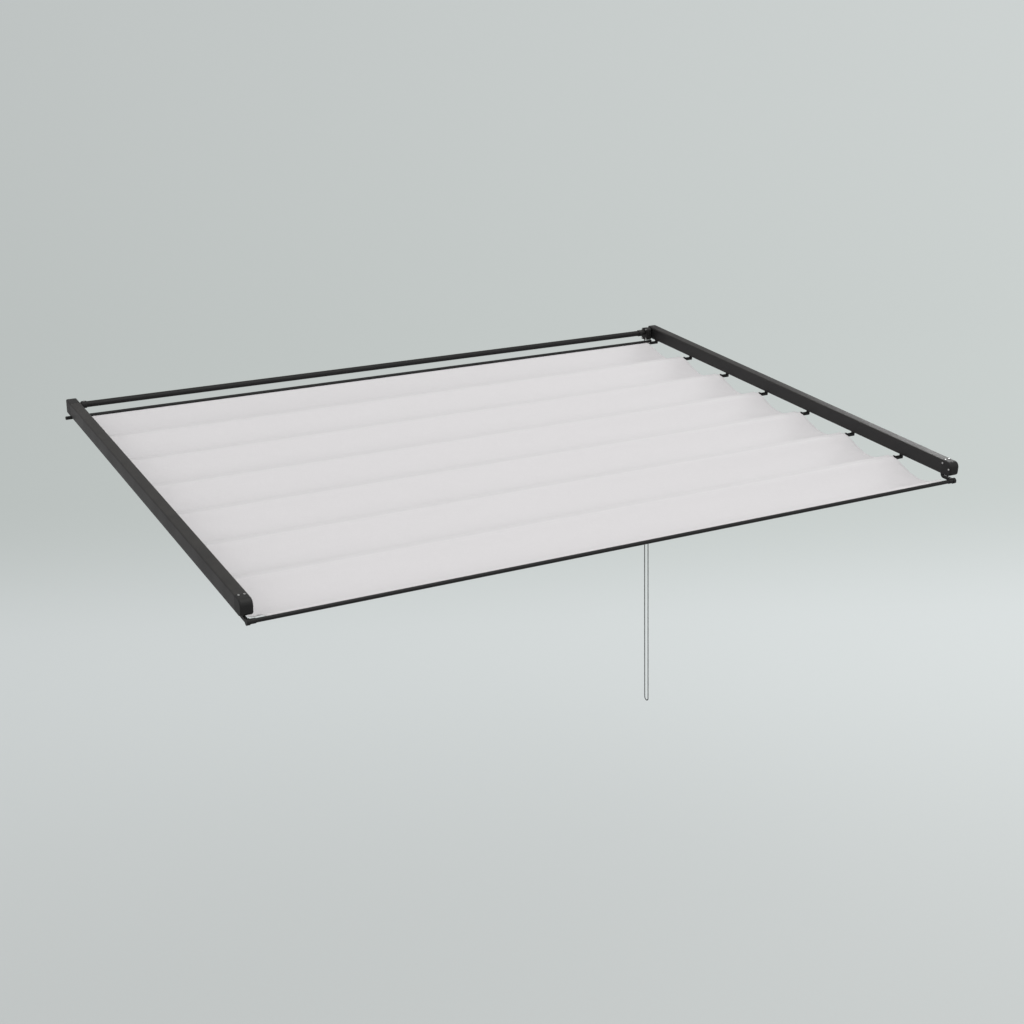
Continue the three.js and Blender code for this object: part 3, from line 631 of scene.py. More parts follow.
HEM_ROWS = (0.86, 0.62)  # two rows of sewing, as shares of the hem's width
SEAM_ROWS = (1.0, 1.3)  # and beside a bar, as shares of the seam's place
CLOTH_SHADES = (0.94, 1.05)
WEAVE_RELIEF = 0.35  # height of the weave beside that of slubs and stitches
CLOTH_RELIEF_DEPTH = 0.00018


def canopy_cloth():
    """Off-white woven cloth with sewn hems and pocket seams, laid out by its UV map in metres."""
    cloth = bpy.context.scene.roof_cloth
    material, tree, shader = new_material("Canopy cloth")
    uv = add_node(tree, "ShaderNodeUVMap", uv_map="Cloth").outputs["UV"]
    split = add_node(tree, "ShaderNodeSeparateXYZ", {"Vector": uv}).outputs
    edge, crest = split["X"], split["Y"]
    weave = use_group(tree, plain_weave, {"Across": edge, "Along": crest, "Pitch": cloth.thread})
    rows = [(edge, crest, cloth.hem * share) for share in HEM_ROWS]
    rows += [(crest, edge, cloth.seam_place * share) for share in SEAM_ROWS]
    sewn = 0.0
    for across, along, place in rows:
        row = {"Across": across, "Along": along, "Place": place, "Stitch": cloth.stitch}
        sewn = reckon(tree, "MAXIMUM", sewn, use_group(tree, stitch_row, row)["Mask"])
    slubbed = between_shades(tree, weave["Slub"], finishes().cloth, CLOTH_SHADES)
    woven = reckon(tree, "MULTIPLY_ADD", weave["Height"], WEAVE_RELIEF, weave["Slub"])
    fill_shader(tree, shader, {
        "Base Color": mix_colours(tree, sewn, slubbed, opaque(finishes().stitching)),
        "Roughness": 0.88,
        "Specular IOR Level": 0.25,
        "Sheen Weight": 0.12,
        "Normal": bump(tree, reckon(tree, "ADD", woven, sewn), CLOTH_RELIEF_DEPTH),
    })
    return material


# What makes each finish, and the record's slot for it
FINISHES = {
    "rail": (rail_coat, "rail"),
    "casting": (casting_coat, "casting"),
    "bar": (bar_coat, "bar"),
    "plastic": (black_plastic, "plastic"),
    "steel": (plated_steel, "steel"),
    "chain": (chain_steel, "steel"),
    "belt": (belt_rubber, "belt"),
    "fabric": (canopy_cloth, "fabric"),
}
MADE = {}


def dress(piece, finish):
    """Gives a piece its material, which is made once."""
    make, slot = FINISHES[finish]
    if finish not in MADE:
        MADE[finish] = make()
    piece.data.materials.clear()
    piece.data.materials.append(MADE[finish])


# Screws
HEAD_ROUNDING, RECESS_FLOOR = 0.6, 0.45  # as shares of a screw head's height
RECESS_REACH, RECESS_WIDTH = 0.55, 0.12  # as shares of its radius


def screw_head():
    """A pan head with a cross recess, standing on the XY plane."""
    radius, height = sizes().screw_radius, sizes().screw_height
    head = rod(radius, (0, 0, 0), (0, 0, height))
    rim = [edge for edge in head.edges if all(vertex.co.z > height / 2 for vertex in edge.verts)]
    bevel(head, rim, height * HEAD_ROUNDING)
    wide, narrow, deep = radius * RECESS_REACH, radius * RECESS_WIDTH, height * RECESS_FLOOR
    cross = [block((-x, -y, deep), (x, y, 2 * height))
             for x, y in ((wide, narrow), (narrow, wide))]
    return combine("DIFFERENCE", head, *cross)


def screws_at(name, places, body, side=1, tilt=ROOF, finish="steel"):
    """Screw heads at (point, outward direction) places."""
    matrices = [Matrix.Translation(point) @ facing(way, "Y") for point, way in places]
    add_piece(name, copy_at(screw_head(), *matrices), finish, body, side=side, tilt=tilt)


# Stage and camera
CAMERA_PLACE = Vector((-3.8827, -8.8597, 1.9072))
CAMERA_HEADING = math.radians(28.06)
CAMERA_PITCH = math.radians(-16.857)
CAMERA_ROLL = math.radians(-1.507)
CAMERA_LENS = 55.09
CAMERA_SENSOR = 36.0
CAMERA_REACH = 200

COVE_HALF_WIDTH = 60.0
COVE_REAR = -40.0  # end of the floor, behind the camera
COVE_WALL_HEIGHT = 16.0
COVE_STEPS = 24
# The changes of tone along the cove and to the sides are painted light
TONE_STOPS = (-8.0, -0.3, 2.4, 8.0)  # where floor and wall have their tones, from the cove's start
SIDE_REACH = 6.0  # to the left and right, where the painted light on the cove is dimmest and brightest
PAINTED_SIDE_LIGHT = (0.9446, 1.1624)
OWN_TONE = 0.86  # share of the cove's tone that is there without light

# Place, aim and diameter of the lamps
OVERHEAD_LAMP = ((0.8, -4.5, 7.0), (0, -1.4, 0), 7.0)
RIM_LAMP = ((5.75, 0.5, 1.9), (1.9, -2.6, -0.3), 2.0)


class ROOF_OT_stage(bpy.types.Operator):
    """Sets the camera, the floor with its cove and wall, and soft light"""
    bl_idname = "roof.stage"
    bl_label = "Camera and Stage"

    def execute(self, context):
        scene = context.scene
        scene.view_settings.view_transform = "Standard"
        self.place_camera(scene)
        self.build_cove(scene.roof_stage)
        self.light(scene)
        return {"FINISHED"}

    def place_camera(self, scene):
        data = bpy.data.cameras.new("Camera")
        data.lens = CAMERA_LENS
        data.sensor_width = CAMERA_SENSOR
        data.clip_end = CAMERA_REACH
        camera = bpy.data.objects.new("Camera", data)
        camera.matrix_world = (Matrix.Translation(CAMERA_PLACE)
                               @ Matrix.Rotation(-CAMERA_HEADING, 4, "Z")
                               @ Matrix.Rotation(math.pi / 2 + CAMERA_PITCH, 4, "X")
                               @ Matrix.Rotation(CAMERA_ROLL, 4, "Z"))
        scene.collection.objects.link(camera)
        scene.camera = camera

    def build_cove(self, stage):
        """A floor that turns up into a wall, square to the view."""
        start = stage.wall_distance - stage.cove_radius
        mesh = bmesh.new()
        rear = [mesh.verts.new((x, COVE_REAR, 0)) for x in (-COVE_HALF_WIDTH, COVE_HALF_WIDTH)]
        floor = bmesh.ops.extrude_edge_only(mesh, edges=[mesh.edges.new(rear)])["geom"]
        front = vertices_in(floor)
        bmesh.ops.translate(mesh, vec=(0, start - COVE_REAR, 0), verts=front)
        front_edge = [edge for edge in edges_in(floor) if all(end in front for end in edge.verts)]
        cove = bmesh.ops.spin(mesh, geom=front_edge + front, cent=(0, start, stage.cove_radius),
                              axis=(1, 0, 0), angle=math.pi / 2, steps=COVE_STEPS)["geom_last"]
        wall = bmesh.ops.extrude_edge_only(mesh, edges=edges_in(cove))["geom"]
        bmesh.ops.translate(mesh, vec=(0, 0, COVE_WALL_HEIGHT), verts=vertices_in(wall))
        bmesh.ops.recalc_face_normals(mesh, faces=mesh.faces)
        if min(mesh.faces, key=lambda face: face.calc_center_median().z).normal.z < 0:
            bmesh.ops.reverse_faces(mesh, faces=mesh.faces)
        for face in mesh.faces:
            face.smooth = True
        backdrop = new_object("studio_cove", mesh)
        foot = Matrix.Translation((CAMERA_PLACE.x, CAMERA_PLACE.y, -stage.floor_drop))
        backdrop.matrix_world = foot @ Matrix.Rotation(-CAMERA_HEADING, 4, "Z")
        backdrop.data.materials.append(self.cove_paint(stage, start))

    def cove_tone(self, tree, stage, start):
        """Tones from the near floor up to the top of the wall, lighter towards the right: painted
        light, since the cove glows with these tones.
        """
        place = add_node(tree, "ShaderNodeSeparateXYZ", {"Vector": object_place(tree)}).outputs
        run = reckon(tree, "ADD", place["Y"], place["Z"])
        shades = [opaque(shade) for shade in
                  (stage.floor_near, stage.floor_far, stage.wall_low, stage.wall_high)]
        tone = shades[0]
        for low, high, shade in zip(TONE_STOPS, TONE_STOPS[1:], shades[1:]):
            share = add_node(tree, "ShaderNodeMapRange", {
                "Value": run, "From Min": start + low, "From Max": start + high,
            }, interpolation_type="SMOOTHSTEP")
            tone = mix_colours(tree, share.outputs[0], tone, shade)
        level = add_node(tree, "ShaderNodeMapRange", {
            "Value": place["X"], "From Min": -SIDE_REACH, "From Max": SIDE_REACH,
            "To Min": PAINTED_SIDE_LIGHT[0], "To Max": PAINTED_SIDE_LIGHT[1],
        })
        inputs = {0: tone, "Scale": level.outputs[0]}
        return add_node(tree, "ShaderNodeVectorMath", inputs, operation="SCALE").outputs[0]

    def cove_paint(self, stage, start):
        """Matt paint seen at its own tone, which carries painted light and shade, with a little of
        the real light, clear from behind.
        """
        material = bpy.data.materials.new("Cove paint")
        material.use_nodes = True
        tree = material.node_tree
        tree.nodes.clear()
        tone = self.cove_tone(tree, stage, start)
        rays = add_node(tree, "ShaderNodeLightPath").outputs
        seen = reckon(tree, "MAXIMUM", rays["Is Camera Ray"], rays["Is Glossy Ray"])
        seen = reckon(tree, "MAXIMUM", seen, rays["Is Transmission Ray"])
        paint = mix_colours(tree, rays["Is Camera Ray"], opaque(stage.air), tone)
        matt = add_node(tree, "ShaderNodeBsdfDiffuse", {"Color": paint})
        plain = add_node(tree, "ShaderNodeEmission", {"Color": paint, "Strength": 1.0})
        clear = add_node(tree, "ShaderNodeBsdfTransparent")
        behind = add_node(tree, "ShaderNodeNewGeometry").outputs["Backfacing"]
        front = self.mix_shaders(tree, reckon(tree, "MULTIPLY", seen, OWN_TONE), matt, plain)
        surface = self.mix_shaders(tree, behind, front, clear)
        add_node(tree, "ShaderNodeOutputMaterial", {"Surface": surface.outputs[0]})
        return material

    def mix_shaders(self, tree, share, first, second):
        sockets = {0: share, 1: first.outputs[0], 2: second.outputs[0]}
        return add_node(tree, "ShaderNodeMixShader", sockets)

    def light(self, scene):
        stage = scene.roof_stage
        world = bpy.data.worlds.new("Studio air")
        world.use_nodes = True
        background = world.node_tree.nodes["Background"].inputs
        background["Color"].default_value = (1.0, 1.0, 1.0, 1)
        background["Strength"].default_value = stage.sky_strength
        scene.world = world
        self.lamp("Overhead lamp", *OVERHEAD_LAMP, stage.overhead_power)
        self.lamp("Rim lamp", *RIM_LAMP, stage.rim_power)

    def lamp(self, name, place, aim, diameter, watts):
        """A round soft lamp that lights the roof and isn't seen itself."""
        data = bpy.data.lights.new(name, "AREA")
        data.shape = "DISK"
        data.size = diameter
        data.energy = watts
        lamp = bpy.data.objects.new(name, data)
        lamp.location = place
        lamp.rotation_euler = (Vector(aim) - Vector(place)).to_track_quat("-Z", "Y").to_euler()
        lamp.visible_camera = False
        bpy.context.scene.collection.objects.link(lamp)


# Hand chain
HALF_TURN_STEPS = 16
BEAD_SEGMENTS, BEAD_RINGS, LINK_SIDES = 8, 6, 6


def chain_strands():
    """The plane that the chain hangs in, and the places of its front and rear strand."""
    front, rear = [node_box(f"hand_chain_{end}", PLUMB).centre for end in ("front", "rear")]
    return front.x, front.y, rear.y


def half_turn(x, y_start, y_end, height, upward):
    """Points on a half turn from one strand to the other."""
    middle, reach = (y_start + y_end) / 2, (y_start - y_end) / 2
    rise = abs(reach) if upward else -abs(reach)
    angles = [math.pi * step / HALF_TURN_STEPS for step in range(HALF_TURN_STEPS + 1)]
    return [Vector((x, middle + reach * math.cos(angle), height + rise * math.sin(angle)))
            for angle in angles]


def steps_of(points):
    """Ways from each point of a path to the next."""
    return [second - first for first, second in zip(points, points[1:])]


def along_path(points, pitch):
    """Points an even distance apart on a path, as near to pitch as its length allows."""
    spans = [step.length for step in steps_of(points)]
    total = sum(spans)
    count = round(total / pitch)
    places = []
    walked, index = 0.0, 0
    for step in range(count + 1):
        target = min(total * step / count, total - MERGE_DISTANCE)
        while walked + spans[index] < target:
            walked += spans[index]
            index += 1
        share = (target - walked) / spans[index]
        places.append(points[index].lerp(points[index + 1], share))
    return places


def bead_chain(points):
    """Beads on a wire, set along a path."""
    chain = bpy.context.scene.roof_chain
    places = along_path(points, chain.pitch)
    ways = steps_of(places)
    step, wire = ways[0].length, chain.link / 2
    bead = bmesh.new()
    bmesh.ops.create_uvsphere(bead, u_segments=BEAD_SEGMENTS, v_segments=BEAD_RINGS,
                              radius=chain.diameter / 2)
    bmesh.ops.create_cone(bead, cap_ends=False, segments=LINK_SIDES, radius1=wire, radius2=wire,
                          depth=step, matrix=Matrix.Translation((0, 0, step / 2)))
    return copy_at(bead, *[Matrix.Translation(place) @ facing(way)
                           for place, way in zip(places, ways)])


class ROOF_OT_hand_chain(bpy.types.Operator):
    """Builds the endless bead chain: the hanging loop and the turn over the wheel"""
    bl_idname = "roof.hand_chain"
    bl_label = "Hand Chain"

    def execute(self, context):
        chain = context.scene.roof_chain
        x, front, rear = chain_strands()
        shaft = node_box("chain_wheel", PLUMB).centre.z
        bend = node_box("hand_chain_bottom", PLUMB).high.z
        hole = node_box("chain_housing", PLUMB).low.z
        loop = [Vector((x, front, hole)), *half_turn(x, front, rear, bend, False),
                Vector((x, rear, hole))]
        piece = add_piece("bead_chain", bead_chain(loop), "chain", "frame", tilt=PLUMB,
                          nodes=("hand_chain_front", "hand_chain_rear", "hand_chain_bottom"))
        inside = hole + chain.pitch
        turn = [Vector((x, rear, inside)), *half_turn(x, rear, front, shaft, True),
                Vector((x, front, inside))]
        upper = add_piece("bead_chain_on_wheel", bead_chain(turn), "chain", "frame", tilt=PLUMB,
                          nodes=("hand_chain_top",))
        return {"FINISHED"}


# Rails and castings
class ROOF_OT_rails(bpy.types.Operator):
    """Builds the two slotted rails"""
    bl_idname = "roof.rails"
    bl_label = "Rails"

    def execute(self, context):
        size = sizes()
        rail = node_box("rail_right")
        low, high = rail.low, rail.high
        slot_left, slot_right = [rail.centre.x + way * size.slot_width / 2 for way in (-1, 1)]
        left, right = low.x + size.rail_wall, high.x - size.rail_wall
        lip, ceiling = low.z + size.rail_wall, high.z - size.rail_wall
        section = [(slot_right, low.z), (high.x, low.z), (high.x, high.z), (low.x, high.z),
                   (low.x, low.z), (slot_left, low.z), (slot_left, lip), (left, lip),
                   (left, ceiling), (right, ceiling), (right, lip), (slot_right, lip)]
        outer, inner = size.rail_corner, size.rail_corner - size.rail_wall
        rounds = {2: outer, 3: outer, 8: inner, 9: inner}
        for name, side in SIDES.items():
            front = profile([(x, low.y, z) for x, z in section], rounds)
            add_piece(f"coated_rail_{name}", pull(front, (0, high.y - low.y, 0)), "rail", "frame",
                      (f"rail_{name}",), side, softness=size.edge_softness)
        return {"FINISHED"}


class ROOF_OT_front_caps(bpy.types.Operator):
    """Builds the caps with round noses at the front ends of the rails, and their screws"""
    bl_idname = "roof.front_caps"
    bl_label = "Front Caps"

    # Places of the screws
    FROM_JOINT = 0.009
    FROM_NOSE = 0.013
    FROM_MIDDLE = 0.013
    BELOW_TOP = 0.017
    BELOW_TOP_AT_NOSE = 0.038

    def execute(self, context):
        size = sizes()
        cap = node_box("front_cap_right")
        low, high = cap.low, cap.high
        joint, nose = high.y - self.FROM_JOINT, low.y + self.FROM_NOSE
        screws = [((cap.centre.x - self.FROM_MIDDLE, joint, high.z), UPWARD),
                  ((cap.centre.x + self.FROM_MIDDLE, joint, high.z), UPWARD),
                  ((low.x, joint, high.z - self.BELOW_TOP), INWARD),
                  ((low.x, nose, high.z - self.BELOW_TOP_AT_NOSE), INWARD)]
        for name, side in SIDES.items():
            mesh = side_profile(low.x, high.x - low.x, rectangle(low, high),
                                {LOW_FRONT: size.nose_lower, HIGH_FRONT: size.nose_upper})
            round_over(mesh, lambda normal: normal.z > -STRAIGHT and normal.y < ASIDE,
                       size.rail_corner)
            hollow(mesh, REARWARD, size.casting_wall)
            add_piece(f"nose_cap_{name}", mesh, "casting", "frame", (f"front_cap_{name}",), side,
                      softness=size.edge_softness)
            screws_at(f"nose_cap_screws_{name}", screws, "frame", side)
        return {"FINISHED"}


class ROOF_OT_drive_heads(bpy.types.Operator):
    """Builds the heads at the rear that hold the drive shaft, and their screws"""
    bl_idname = "roof.drive_heads"
    bl_label = "Drive Heads"

    # Places of the screws
    FROM_JOINT = 0.009
    FROM_EDGE = 0.014

    LOWER_ARC = -0.7  # faces that look down more than this keep their side edges

    def execute(self, context):
        size = sizes()
        head = node_box("drive_head_right")
        low, high = head.low, head.high
        shaft = node_box("stub_shaft_right").centre
        screws = [((low.x, low.y + self.FROM_JOINT, height), INWARD)
                  for height in (low.z + self.FROM_EDGE, high.z - self.FROM_EDGE)]
        for name, side in SIDES.items():
            mesh = side_profile(low.x, high.x - low.x, rectangle(low, high),
                                {LOW_REAR: size.head_lower, HIGH_REAR: size.rail_corner})
            round_over(mesh, lambda normal: normal.z > self.LOWER_ARC and normal.y > -ASIDE,
                       size.rail_corner)
            hollow(mesh, FORWARD, size.casting_wall)
            bore = cross_rod(size.bush_bore, low.x - CUT_MARGIN, head.centre.x, shaft)
            add_piece(f"round_head_{name}", combine("DIFFERENCE", mesh, bore), "casting", "frame",
                      (f"drive_head_{name}",), side, softness=size.edge_softness)
            screws_at(f"round_head_screws_{name}", screws, "frame", side, finish="casting")
        return {"FINISHED"}


class ROOF_OT_chain_housing(bpy.types.Operator):
    """Builds the upright housing round the chain wheel, its cover and screws"""
    bl_idname = "roof.chain_housing"
    bl_label = "Chain Housing"

    CORNER_RADIUS = 0.016
    NECK_RADIUS = 0.016
    SCREW_INSET = 0.0085

    def execute(self, context):
        shaft = node_box("chain_wheel", PLUMB).centre
        case, cover = node_box("chain_housing", PLUMB), node_box("chain_cover", PLUMB)
        self.add("chain_case", self.open_case(case, cover, shaft), "chain_housing")
        plate = self.arched(cover.low.x, cover.high.x, cover)
        opening = cross_rod(sizes().shaft_bore, cover.low.x - CUT_MARGIN,
                            cover.high.x + CUT_MARGIN, shaft)
        self.add("chain_case_cover", combine("DIFFERENCE", plate, opening), "chain_cover")
        inset = self.SCREW_INSET
        screws = [((cover.low.x, y, z), INWARD)
                  for z in (cover.low.z + inset, cover.high.z - inset)
                  for y in (cover.low.y + inset, cover.high.y - inset)]
        screws_at("chain_case_screws", screws, "frame", tilt=PLUMB)
        return {"FINISHED"}

    def add(self, name, mesh, node):
        add_piece(name, mesh, "casting", "frame", (node,), tilt=PLUMB,
                  softness=sizes().edge_softness)

    def arched(self, left, right, box):
        """A solid between two places across the roof, with round upper corners."""
        return side_profile(left, right - left, rectangle(box.low, box.high),
                            {HIGH_REAR: self.CORNER_RADIUS, HIGH_FRONT: self.CORNER_RADIUS})

    def open_case(self, case, cover, shaft):
        """The case, open to the cover, with a neck round the shaft and holes for the chain."""
        wall = sizes().casting_wall
        chain = bpy.context.scene.roof_chain
        x, front, rear = chain_strands()
        outer = 2 * x - cover.low.x
        shell = self.arched(case.low.x, outer, case)
        hollow(shell, INWARD, wall)
        neck = cross_rod(self.NECK_RADIUS, outer - wall / 2, case.high.x, shaft)
        shell = combine("UNION", shell, neck)
        bore = cross_rod(sizes().shaft_bore, outer - 2 * wall, case.high.x + CUT_MARGIN, shaft)
        floor = case.low.z
        holes = [rod(chain.diameter / 2 + chain.hole_play, (x, y, floor - CUT_MARGIN),
                     (x, y, floor + wall + CUT_MARGIN)) for y in (front, rear)]
        return combine("DIFFERENCE", shell, bore, *holes)


# Bars, tube and what holds them
class ROOF_OT_cross_bars(bpy.types.Operator):
    """Builds the fixed rear bar, the hanging bars and the front bar"""
    bl_idname = "roof.cross_bars"
    bl_label = "Cross Bars"

    def execute(self, context):
        size = sizes()
        bars = [("rear_bar", "frame", "fixed_bar"), ("front_bar", "front", "leading_bar")]
        bars += [(f"roof_bar_{number}", f"bar_{number}", f"cross_bar_{number}") for number in BARS]
        for node, body, name in bars:
            bar = node_box(node)
            low, high = bar.low, bar.high
            mesh = tube((high.z - low.z) / 2, size.bar_wall, low.x, high.x, bar.centre)
            add_piece(name, mesh, "bar", body, (node,), softness=size.edge_softness)
        return {"FINISHED"}


class ROOF_OT_torque_tube(bpy.types.Operator):
    """Builds the tube across the back and its stepped couplings"""
    bl_idname = "roof.torque_tube"
    bl_label = "Torque Tube"

    HUB_BORE = 0.0083

    def execute(self, context):
        size = sizes()
        box = node_box("torque_tube")
        low, high, centre = box.low, box.high, box.centre
        radius = (high.z - low.z) / 2
        add_piece("drive_tube", tube(radius, size.tube_wall, low.x, high.x, centre), "bar",
                  "drive_shaft", ("torque_tube",), softness=size.edge_softness)
        for (name, way), tube_end in zip(SIDES.items(), (low.x, high.x)):
            coupling = node_box(f"tube_coupling_{name}")
            inner, outer = (coupling.low.x, coupling.high.x)[::way]
            wide = (coupling.high.z - coupling.low.z) / 2
            step = tube_end + way * GAP
            neck = outer - way * size.hub_length
            section = [(wide, inner), (wide, neck), (size.hub_radius, neck),
                       (size.hub_radius, outer), (self.HUB_BORE, outer), (self.HUB_BORE, step),
                       (radius + GAP, step), (radius + GAP, inner)]
            add_piece(f"stepped_coupling_{name}", turned(section, centre), "casting",
                      "drive_shaft", (f"tube_coupling_{name}",), softness=size.edge_softness)
            place = ((inner + neck) / 2, centre.y, centre.z + wide)
            screws_at(f"coupling_screw_{name}", [(place, UPWARD)], "drive_shaft")
        return {"FINISHED"}


SHOULDER_RISE = 1.1  # height of a hook's shoulder above the bar's middle, in radii of the bar
SPIGOT_LENGTH = 0.02
GLIDER_SOFTNESS = 0.0015


def hook_solid(bar_node, bottom, stem_top):
    """A hook at the right end of a bar: foot with upright cheek, spigot in the bar, and stem."""
    size = sizes()
    box = node_box(bar_node)
    high, bar = box.high, box.centre
    radius = high.z - bar.z
    middle = node_box("rail_right").centre.x
    stem, start = size.stem_width / 2, high.x + GAP
    left, right = middle - stem, middle + stem
    sole, cheek = bottom + size.foot_height, start + size.cheek_width
    shoulder = bar.z + radius * SHOULDER_RISE
    section = [(start, bottom), (right, bottom), (right, shoulder), (left, shoulder),
               (left, sole), (cheek, sole), (cheek, high.z), (start, high.z)]
    front = bar.y - size.foot_length / 2
    foot = pull(profile([(x, front, z) for x, z in section]), (0, size.foot_length, 0))
    bevel(foot, foot.edges[:], size.hook_softness)
    along = size.stem_length / 2
    upright = block((left + GAP, bar.y - along, bar.z), (right - GAP, bar.y + along, stem_top))
    spigot = cross_rod(radius - size.bar_wall - GAP, start - SPIGOT_LENGTH,
                       start + size.cheek_width / 2, bar)
    return combine("UNION", foot, upright, spigot)


class ROOF_OT_hooks(bpy.types.Operator):
    """Builds the black hooks that slide in the rails and carry the bars"""
    bl_idname = "roof.hooks"
    bl_label = "Bar Hooks"

    def execute(self, context):
        middle = node_box("rail_right").centre.x
        for number in BARS:
            box = node_box(f"bar_hook_right_{number}")
            low, high = box.low, box.high
            sole = high.z - sizes().glider_height
            for name, side in SIDES.items():
                glider = block((2 * middle - high.x, low.y, sole), high, GLIDER_SOFTNESS)
                hook = hook_solid(f"roof_bar_{number}", low.z, high.z - CUT_MARGIN)
                add_piece(f"glide_hook_{name}_{number}", combine("UNION", hook, glider), "plastic",
                          f"bar_{number}", (f"bar_hook_{name}_{number}",), side)
        return {"FINISHED"}


class ROOF_OT_rear_hangers(bpy.types.Operator):
    """Builds the fixed hooks that hold the rear bar under the drive heads"""
    bl_idname = "roof.rear_hangers"
    bl_label = "Rear Hangers"

    PLATE_SOFTNESS = 0.0012
    STUB_SOFTNESS = 0.0025

    def execute(self, context):
        size = sizes()
        box, rear = node_box("rear_hanger_right"), node_box("rear_bar")
        low, high, bar = box.low, box.high, rear.centre
        middle = node_box("rail_right").centre.x
        wide, long = size.plate_width / 2, size.plate_length / 2
        for name, side in SIDES.items():
            plate = block((middle - wide, bar.y - long, high.z - size.plate_height),
                          (middle + wide, bar.y + long, high.z), self.PLATE_SOFTNESS)
            stub = cross_rod(rear.high.z - bar.z, middle, high.x, bar)
            rim = [edge for edge in stub.edges
                   if all(vertex.co.x > high.x - CUT_MARGIN for vertex in edge.verts)]
            bevel(stub, rim, self.STUB_SOFTNESS)
            hook = hook_solid("rear_bar", low.z, high.z - CUT_MARGIN)
            add_piece(f"bar_hanger_{name}", combine("UNION", hook, plate, stub), "plastic",
                      "frame", (f"rear_hanger_{name}",), side)
        return {"FINISHED"}


class ROOF_OT_lead_carriages(bpy.types.Operator):
    """Builds the carriages whose arms reach forward to the front bar"""
    bl_idname = "roof.lead_carriages"
    bl_label = "Lead Carriages"

    SOFTER_EDGES = 2  # times the softness of the other pieces' edges
    RING_HALF = 0.008  # half the width of the ring round the front bar's end
    SLEEVE_WALL = 0.002
    CLAMP_HALF = 0.0093  # half the width of the clamp on the belt
    CLAMP_LENGTH = 0.024
    BELT_HALF = 0.001  # half the thickness of the belt
    # The belt's slot in the clamp: half its height, its outer side, and how far its cutter reaches
    SLOT_HALF = 0.0013
    SLOT_SIDE = 0.0063
    SLOT_FRONT = 0.02
    SLOT_REAR = 0.03

    def execute(self, context):
        softness = sizes().edge_softness * self.SOFTER_EDGES
        for name, side in SIDES.items():
            add_piece(f"arm_carriage_{name}", self.carriage(), "casting", "front",
                      (f"lead_carriage_{name}",), side, softness=softness)
        return {"FINISHED"}

    def carriage(self):
        size = sizes()
        box, front_bar, rail = map(node_box, ("lead_carriage_right", "front_bar", "rail_right"))
        low, high, bar, middle = box.low, box.high, front_bar.centre, rail.centre.x
        stem = high.y - size.glider_tail
        half = size.stem_length / 2
        front, rear = stem - half, stem + half
        sole = rail.low.z + size.rail_wall + GAP
        roof = sole + size.glider_height
        root = roof - CUT_MARGIN
        bottom, top = bar.z - size.arm_depth / 2, bar.z + size.arm_depth / 2
        arm = side_profile(
            middle - size.stem_width / 2, size.stem_width,
            [(front, root), (front, top), (bar.y, top),
             (bar.y, bottom), (rear, bottom), (rear, root)],
            {1: size.arm_bend, 4: size.arm_bend + size.arm_depth})
        ring = cross_rod(bar.y - low.y, middle - self.RING_HALF, middle + self.RING_HALF, bar)
        bore = front_bar.high.z - bar.z + GAP
        sleeve = cross_rod(bore + self.SLEEVE_WALL, low.x, middle, bar)
        slider = block((2 * middle - high.x, stem - size.glider_nose, sole), (high.x, high.y, roof),
                       GLIDER_SOFTNESS)
        clamp = block((middle - self.CLAMP_HALF, front, sole),
                      (middle + self.CLAMP_HALF, front + self.CLAMP_LENGTH, high.z))
        body = combine("UNION", arm, ring, sleeve, slider, clamp)
        socket = cross_rod(bore, low.x - CUT_MARGIN, front_bar.high.x + GAP, bar)
        run = node_box("drive_belt_right").low.z + self.BELT_HALF
        slot = block((middle - self.SLOT_FRONT, stem - self.SLOT_FRONT, run - self.SLOT_HALF),
                     (middle + self.SLOT_SIDE, stem + self.SLOT_REAR, run + self.SLOT_HALF))
        return combine("DIFFERENCE", body, socket, slot)


